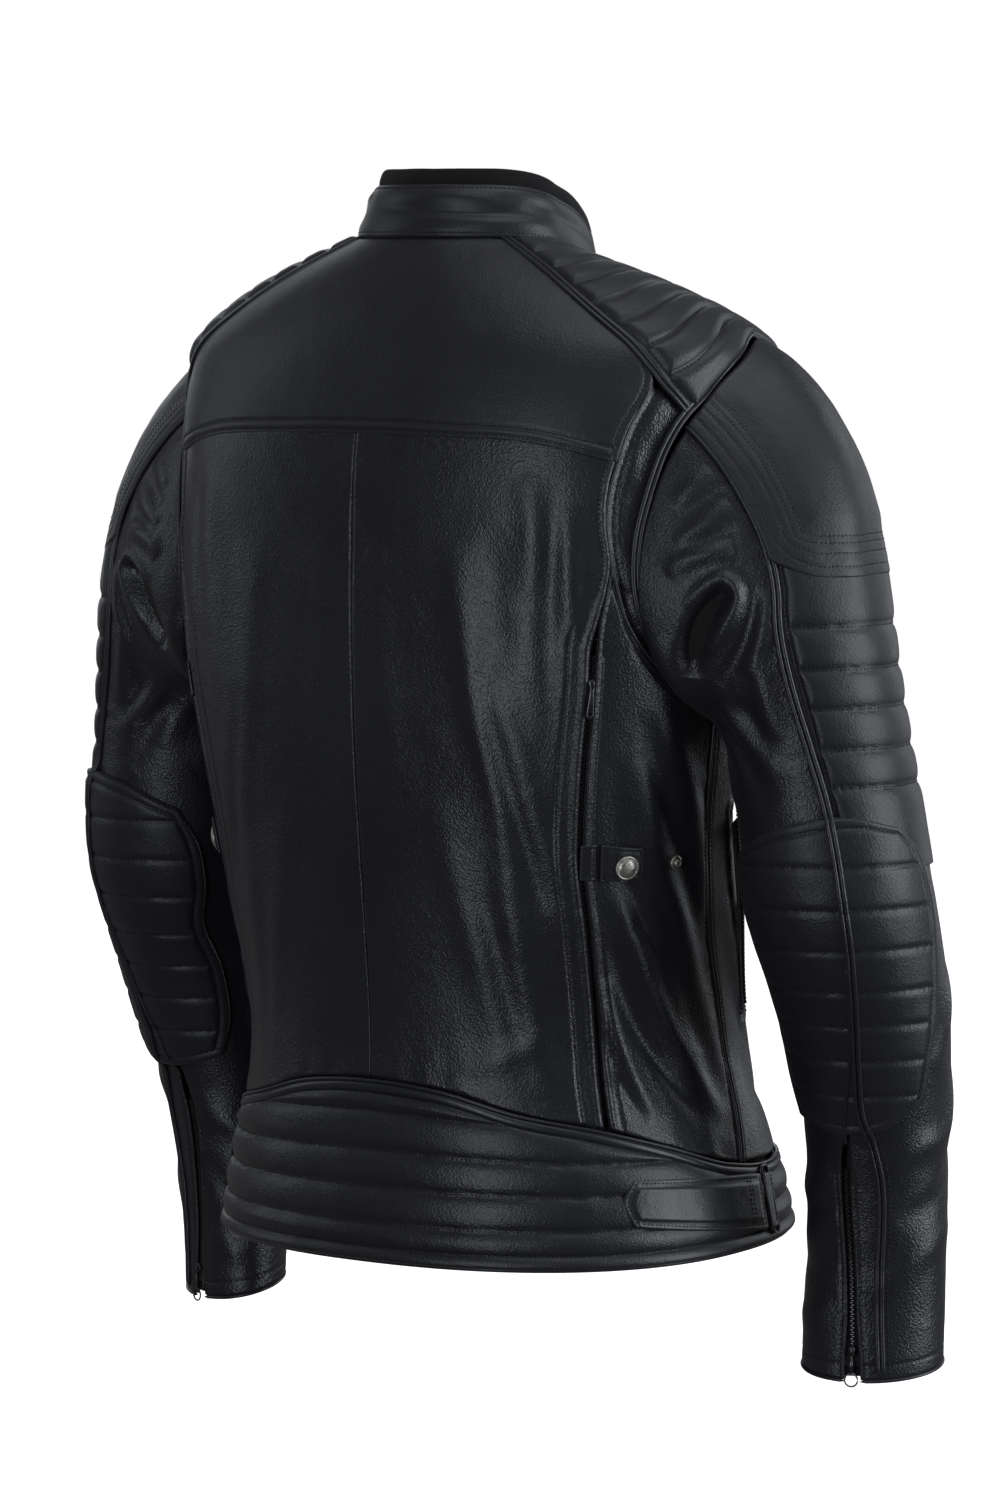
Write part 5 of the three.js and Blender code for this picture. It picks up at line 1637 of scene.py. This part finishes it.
def holed_slab(outline, centre, radius, low, high, bevel=0.3):
    """A bevelled plate with a round hole in it; its outline is convex."""
    outline, centre = np.asarray(outline, float), np.asarray(centre, float)
    turns = np.arctan2(*(outline - centre).T[::-1])
    ray = np.stack([np.cos(turns), np.sin(turns)], axis=1)
    n = len(outline)
    rings = bevelled(outline, low, high, bevel)
    for z, inset in ((high, bevel), (high - bevel, 0), (low + bevel, 0), (low, bevel)):
        rings.append(np.column_stack([centre + ray * (radius + inset), np.full(n, z)]))
    faces = []
    for r in range(len(rings)):
        faces += band_faces(r, (r + 1) % len(rings), n)
    return np.concatenate(rings), faces


def upright(count):
    """Normals for a tube that is drawn lying flat."""
    return np.tile([0, 0, 1.0], (count, 1))


def arc(cx, cy, radius, start, end, count=12):
    turns = np.radians(np.linspace(start, end, count))
    return [[cx + radius * math.cos(t), cy + radius * math.sin(t)] for t in turns]


def turned(profile, sides=36):
    """A closed solid turned about z from a profile of radius and height that starts and ends on the axis."""
    profile = np.asarray(profile, float)
    turns = np.linspace(0, 2 * np.pi, sides, endpoint=False)
    ring = np.stack([np.cos(turns), np.sin(turns)], axis=1)
    body = [np.column_stack([ring * r, np.full(sides, z)]) for r, z in profile[1:-1]]
    points = np.concatenate([[[0, 0, profile[0][1]]], *body, [[0, 0, profile[-1][1]]]])
    last = len(points) - 1
    faces = []
    for k in range(sides):
        n = (k + 1) % sides
        faces.append([0, 1 + n, 1 + k])
        for r in range(len(body) - 1):
            a = 1 + r * sides
            faces.append([a + k, a + n, a + sides + n, a + sides + k])
        a = 1 + (len(body) - 1) * sides
        faces.append([a + k, a + n, last])
    return points, faces


def placed(parts, at, across, up, outward):
    """Parts drawn with x across, y up and z outwards, put at a place."""
    frame_of = np.stack([across, up, outward])
    return outward_parts([(at + np.asarray(points) @ frame_of, faces) for points, faces in parts])


def slider_parts(scale):
    """A slider's top plate, its rails and the arched bridge that holds the pull."""
    end = -6 * scale
    outline = arc(0, 2 * scale, 4.6 * scale, 0, 180, 16)
    outline += [[-4 * scale, end + 1], [-3.2 * scale, end], [3.2 * scale, end], [4 * scale, end + 1]]
    parts = [slab(outline, 3.9, 5.3)]
    for hand in (-1, 1):
        rail = [[hand * x * scale, y * scale] for x, y in ((3.4, -5.6), (4.4, -5), (4.7, 3), (3.6, 4))]
        parts.append(slab(rail, 3.4, 4.4, 0.2))
    turns = np.linspace(0, np.pi, 9)
    line = np.stack([0 * turns, np.cos(turns) * 3.6 * scale, 5.0 + np.sin(turns) * 2.3 * scale], axis=1)
    parts.append(tube(line, np.tile([1.0, 0, 0], (9, 1)), 0.75, 1.15 * scale))
    return parts


def pull_parts(length, width):
    """A tapered tab with a round window near its lower end and a loop round the bridge."""
    half = width / 2
    outline = [[half * 0.55, -2.5], [-half * 0.55, -2.5], [-half * 0.75, -length * 0.45]]
    outline += [*arc(0, -length + half, half, 180, 360, 16), [half * 0.75, -length * 0.45]]
    even = []
    for a, b in zip(outline, outline[1:] + outline[:1]):
        steps = max(int(math.dist(a, b) / 1.5), 1)
        even += [[blend(a[0], b[0], k / steps), blend(a[1], b[1], k / steps)] for k in range(steps)]
    parts = [holed_slab(even, (0, -length + half * 1.15), half * 0.45, 6.4, 7.6)]
    turns = np.linspace(0, 2 * np.pi, 17)[:-1]
    line = np.stack([np.cos(turns) * half * 0.5, -0.9 + np.sin(turns) * 2.3, 7.0 + 0 * turns], axis=1)
    line = np.vstack([line, line[:1]])
    parts.append(tube(line, upright(17), 0.6))
    return parts


def put_on_zip(parts, places, share):
    """Parts drawn lying flat, put on a zip at a share of its length with their top upwards."""
    point, along, outward, _ = places
    k = int(share * (len(point) - 1))
    up = along[k] * np.sign(along[k][2])
    return placed(parts, point[k], np.cross(up, outward[k]), up, outward[k])


def cuff_way(share):
    along = blend(0.993, 0.8, np.asarray(share, float))
    return np.stack([cuff_seam(along), along], axis=-1)


def make_zip(name, side, how, places, share, tape, pitch, scale, pull=None, size=1.0):
    """A zip's tape and teeth, its slider at a share of its length and, where it has one, its pull."""
    plain(f"{name}_zip_tape", [make_tape(places, tape)], "tape", side, how, "zip_tape", [f"{name}_zip"])
    plain(f"{name}_zip_teeth", make_teeth(places, pitch, size), "gunmetal", side, how, "gunmetal", shade=False)
    moving = {"slider": slider_parts(scale)}
    if pull:
        moving["pull"] = pull_parts(*pull)
    for kind, parts in moving.items():
        node = f"{name}_{kind}"
        body = f"{node}_{side}" if side in SIDES else node
        plain(f"{node}_metal", put_on_zip(parts, places, share), "gunmetal", side, body, "gunmetal", [node])


def make_zips(side):
    vent = stations(TORSO, curve([*reversed(VENT_LINE)]), 0.02, 0.97, -5.2)
    make_zip("vent", side, "torso", vent, 0.06, tape=9, pitch=1.5, scale=0.5, pull=(22, 5), size=0.8)
    pocket = stations(TORSO, curve([[99, -378], [112, -508]]), 0, 1, 3.4)
    make_zip("pocket", side, "torso", pocket, 0.08, tape=6, pitch=1.6, scale=0.75, size=0.8)
    cuff, slider_at = stations(SLEEVE, cuff_way, 0, 1, -3.8), 0.13
    make_zip("cuff", side, f"forearm_{side}", cuff, slider_at, tape=8, pitch=1.5, scale=0.46, size=0.8)
    # A short stiff pull with a ring at its end, which moves with the cuff's slider.
    ring = [[x, y, 6.0] for x, y in arc(0, -19, 4.3, 0, 360, 25)]
    pull = [[0, -4.0, 6.2], [0, -9, 6.4], [0, -15, 6.2]]
    parts = [tube(ring, upright(25), 0.6), tube(pull, upright(3), 1.5, 0.7)]
    parts = put_on_zip(parts, cuff, slider_at)
    plain("cuff_ring_metal", parts, "gunmetal", side, f"cuff_slider_{side}", "gunmetal")


def make_front_zip():
    places = stations(TORSO, curve([[180, -22], [180, -655]]), 0, 1, -5.2)
    make_zip("front", "centre", "torso", places, 0.07, tape=12, pitch=2.2, scale=1.0, pull=(34, 8), size=1.2)


# ------------------------------------------------------------------ snaps, straps and rings
def quad_region(from_points, to_points, low_points, high_points):
    return coons(TORSO, curve(from_points), curve(to_points), curve(low_points), curve(high_points))


def make_snap_tab(side):
    region = quad_region(
        [[55, -411], [55, -386]], [[67.6, -409], [68, -400], [67.4, -389.5]],
        [[55, -411], [67.6, -409]], [[55, -386], [67.4, -389.5]],
    )
    panel = Panel(TORSO, region, PITCH * 0.28, 3.0)
    panel.height += 0.35 * np.exp(-((panel.edges["left"] - 13) / 4) ** 2)
    for name in panel.edges:
        panel.roll(name, 0.9, 1.4)
    panel.wrinkle(0.12, 7, 61)
    for name in ("right", "top", "bottom", "left"):
        panel.stitch(name, 2.4, (0.06, 0.94), 0.3)
    body = f"snap_tab_{side}"
    piece("snap_tab_leather", panel, "strap", side, body, "strap_leather", "snap_tab", thickness=2.2)
    sew(side, body, *panel.line_at("left", 11.5, (0.1, 0.9)))


def make_tab_root(side):
    """The sewn-down end of the snap tab, a square box of stitches across the vent's slit."""
    region = quad_region(
        [[49.5, -410], [49.5, -387]], [[54.2, -411], [54.2, -386]],
        [[49.5, -410], [54.2, -411]], [[49.5, -387], [54.2, -386]],
    )
    panel = Panel(TORSO, region, PITCH * 0.28, 1.3)
    panel.height -= 0.8 * smooth(4, 0, panel.edges["right"])
    for name in panel.edges:
        panel.roll(name, 0.9, 1.4)
        panel.stitch(name, 2.4, (0.1, 0.9), 0.3)
    piece("snap_tab_root_leather", panel, "strap", side, "torso", "strap_leather", None, thickness=1.1)


def on_torso(parts, at, foot):
    """Parts drawn lying flat, put on the torso at a surface point with their top upwards."""
    place = TORSO.raised(*at, foot)
    outward = TORSO.normal(*map(np.float64, at))
    up = unit(np.array([0, 0, 1.0]) - outward * outward[2])
    return placed(parts, place, np.cross(up, outward), up, outward)


def make_snaps(side):
    cap = turned([
        [0, -0.4], [7.6, -0.4], [8.1, 0.1], [8.1, 0.7], [7.6, 1.2], [6.9, 1.25], [6.5, 0.95], [6.1, 1.2],
        [5.6, 1.8], [4.4, 2.4], [2.4, 2.8], [0, 2.95],
    ])
    cap = on_torso([cap], (62.5, -401.5), 3.5)
    plain("snap_cap_metal", cap, "silver", side, f"snap_tab_{side}", "antique_silver", ["snap_cap"])
    stud = turned([
        [0, -0.2], [4.5, -0.2], [4.8, 0.2], [4.6, 0.9], [3.9, 1.4], [3.2, 1.3], [2.9, 0.9], [2.6, 1.5],
        [2.7, 3.0], [2.3, 3.5], [1.5, 3.3], [1.2, 2.7], [0, 2.7],
    ], 28)
    stud = on_torso([stud], (79, -401), 0.8)
    plain("snap_stud_metal", stud, "silver", side, "torso", "antique_silver", ["snap_stud"])


def make_waist_strap(side):
    region = quad_region(
        [[59, -638], [56.8, -622], [60, -607]], [[96.4, -655], [97, -636], [97.6, -617.5]],
        [[59, -638], [78, -646], [96.4, -655]], [[60, -607], [80, -611], [97.6, -617.5]],
    )
    panel = Panel(TORSO, region, PITCH * 0.4, 5.4)
    middle = np.min([panel.edges[name] for name in panel.edges], axis=0)
    panel.height += 1.0 * smooth(5.5, 8, middle)
    panel.wrinkle(0.2, 14, 62)
    for name in panel.edges:
        panel.roll(name, 1.6, 2.0)
        panel.stitch(name, 3.2, (0.05, 0.95), 0.35)
    body = f"waist_strap_{side}"
    piece("waist_strap_leather", panel, "strap", side, body, "strap_leather", "waist_strap", thickness=3.2)
    for offset in (16, 19.5):
        sew(side, body, *panel.line_at("right", offset, (0.08, 0.92)))


def make_strap_root(side):
    """The end of the waist strap that is sewn to the front, under the ring."""
    region = quad_region(
        [[97.6, -655], [98, -636], [98.6, -618]], [[101.5, -656], [102.6, -637], [103.6, -619]],
        [[97.6, -655], [101.5, -656]], [[98.6, -618], [103.6, -619]],
    )
    panel = Panel(TORSO, region, PITCH * 0.4, 5.2)
    for name in panel.edges:
        panel.roll(name, 1.4, 1.8)
    panel.stitch("right", 3.2, (0.08, 0.92), 0.35)
    piece("waist_strap_root_leather", panel, "strap", side, "torso", "strap_leather", None, thickness=3.0)


def make_strap_ring(side):
    low, high = TORSO.raised(100, -658, 3.0), TORSO.raised(100, -614, 3.0)
    up = unit(high - low)
    outward = TORSO.normal(np.float64(100), np.float64(-636))
    outward = unit(outward - up * (outward @ up))
    height, half, round_by = float(np.linalg.norm(high - low)), 4.8, 2.6
    bottom, top = round_by, height - round_by
    corners = [(half, bottom, 1), (half, top, 1), (-half, top, -1), (-half, bottom, -1)]
    path = []
    for (x, y, hand), start in zip(corners, (-90, 0, 90, 180)):
        path += arc(x - hand * round_by, y, round_by, start, start + 90, 7)
    line = [[x, y, 1.0] for x, y in path + path[:1]]
    bar = [[0, 2.0, 1.0], [0, height / 2, 1.3], [0, height - 2.0, 1.0]]
    parts = [tube(line, upright(len(line)), 1.25), tube(bar, upright(3), 1.0)]
    parts = placed(parts, low, np.cross(up, outward), up, outward)
    plain("strap_ring_metal", parts, "gunmetal", side, "torso", "gunmetal", ["strap_ring"])


# ------------------------------------------------------------------ the jacket
make_yoke()
for side in SIDES:
    make_back_panel(side)
    make_gusset(side)
    make_side_panel(side)
    make_front_panel(side)
    make_shoulder_quilt(side)
    make_side_seams(side)
make_waistband()
make_collar()
make_torso_lining()
for side in SIDES:
    arm_panels = [make_shoulder_cap(side), make_upper_sleeve(side), make_under_sleeve(side)]
    arm_panels += [*make_forearm(side), make_elbow_pad(side)]
    make_elbow_armour(side)
    make_sleeve_linings(side)
    make_sleeve_seams(side, arm_panels)
    make_zips(side)
    make_snap_tab(side)
    make_tab_root(side)
    make_snaps(side)
    make_waist_strap(side)
    make_strap_root(side)
    make_strap_ring(side)
make_front_zip()

THREAD_SLOTS = {"upper": "sleeve_leather", "lower": "sleeve_leather"}
for (side, how), soup in threads.items():
    suffix = "" if side == "centre" else f"_{side}"
    base = how if how.endswith(suffix) else how + suffix
    obj = make_object(f"thread_{base}", soup.points, soup.faces, LOOKS["thread"], side)
    bind(obj, how, side)
    THREAD_SLOTS.get(how, "body_leather")


# ------------------------------------------------------------------ floor, light and camera
def floor_material():
    n = Nodes("pale_floor")
    place = n.add("ShaderNodeTexCoord").outputs["Object"]
    dust = n.add("ShaderNodeTexNoise", {"Vector": place, "Scale": 3.0, "Detail": 3.0}).outputs["Fac"]
    n.link(n.ramp(dust, [(0.3, (0.86, 0.86, 0.86)), (0.7, (0.88, 0.88, 0.88))]), "Base Color")
    n.set("Roughness", 0.8)
    n.set("Specular IOR Level", 0.2)
    n.set("Emission Color", (1, 1, 1, 1))
    n.set("Emission Strength", 0.85)
    return n.material


FLOOR_DROP = 0.03
FLOOR_HALF = 9000.0
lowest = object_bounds()[0].z
floor_corners = np.array([[-1, -1, 0], [1, -1, 0], [1, 1, 0], [-1, 1, 0]]) * FLOOR_HALF
floor = make_object("pale_floor", floor_corners, [[0, 1, 2, 3]], floor_material(), "centre", False)
floor.location.z = lowest - FLOOR_DROP
floor.visible_glossy = False
floor.visible_diffuse = False


def aim(obj, target):
    obj.rotation_euler = (Vector(target) - obj.location).to_track_quat("-Z", "Y").to_euler()


MIDDLE = Vector((0, 0, -0.36))  # of the jacket
TO_CAMERA, TO_RIGHT, UP = Vector((-0.574, 0.819, 0)), Vector((-0.819, -0.574, 0)), Vector((0, 0, 1))
COOL_WHITE = (0.9, 0.945, 1.0)
AMBIENT = 0.1  # the white surroundings as a light; the camera sees them at full strength


def softbox(name, right, near, up, distance, size, power):
    """A soft light on the jacket, in a direction given along the picture's right, the camera and up."""
    direction = (TO_RIGHT * right + TO_CAMERA * near + UP * up).normalized()
    light = bpy.data.lights.new(name, "AREA")
    light.shape = "RECTANGLE"
    light.size, light.size_y = size
    light.energy = power
    light.color = COOL_WHITE
    obj = bpy.data.objects.new(name, light)
    obj.location = MIDDLE + direction * distance
    bpy.context.scene.collection.objects.link(obj)
    aim(obj, MIDDLE)


softbox("key_right", 0.9, 0.35, 0.12, 2.6, (1.1, 2.2), 48)
softbox("key_back", -0.42, 0.9, 0.0, 3.0, (0.85, 2.6), 27)
softbox("top", 0.1, 0.2, 1.0, 2.4, (1.6, 1.2), 7)
softbox("rim_left", -1.0, -0.3, 0.35, 2.6, (0.7, 2.0), 6)
softbox("rim_right", 0.9, -0.75, 0.3, 2.6, (0.9, 2.0), 9)
softbox("front", -0.2, -1.0, 0.3, 3.0, (2.0, 2.0), 14)

sun = bpy.data.lights.new("soft_sun", "SUN")
sun.energy = 0.5
sun.angle = math.radians(60)
sun_obj = bpy.data.objects.new("soft_sun", sun)
aim(sun_obj, -(TO_RIGHT * 0.35 + TO_CAMERA * 0.2 + UP))
bpy.context.scene.collection.objects.link(sun_obj)

world = bpy.data.worlds.new("white_studio")
world.use_nodes = True
bpy.context.scene.world = world
tree = world.node_tree
background = tree.nodes["Background"]
path = tree.nodes.new("ShaderNodeLightPath")
strength = tree.nodes.new("ShaderNodeMix")
strength.inputs["A"].default_value = AMBIENT
strength.inputs["B"].default_value = 1.0
tree.links.new(path.outputs["Is Camera Ray"], strength.inputs["Factor"])
tree.links.new(strength.outputs["Result"], background.inputs["Strength"])
background.inputs["Color"].default_value = (1, 1, 1, 1)

camera_data = bpy.data.cameras.new("photo_view")
camera_data.lens = 137.7
camera_data.sensor_width = 36
camera = bpy.data.objects.new("photo_view", camera_data)
camera.location = (-2.180, 3.113, 0.0)
bpy.context.scene.collection.objects.link(camera)
aim(camera, (-0.0172, -0.0121, -0.339))
bpy.context.scene.camera = camera
bpy.context.scene.view_settings.view_transform = "Standard"
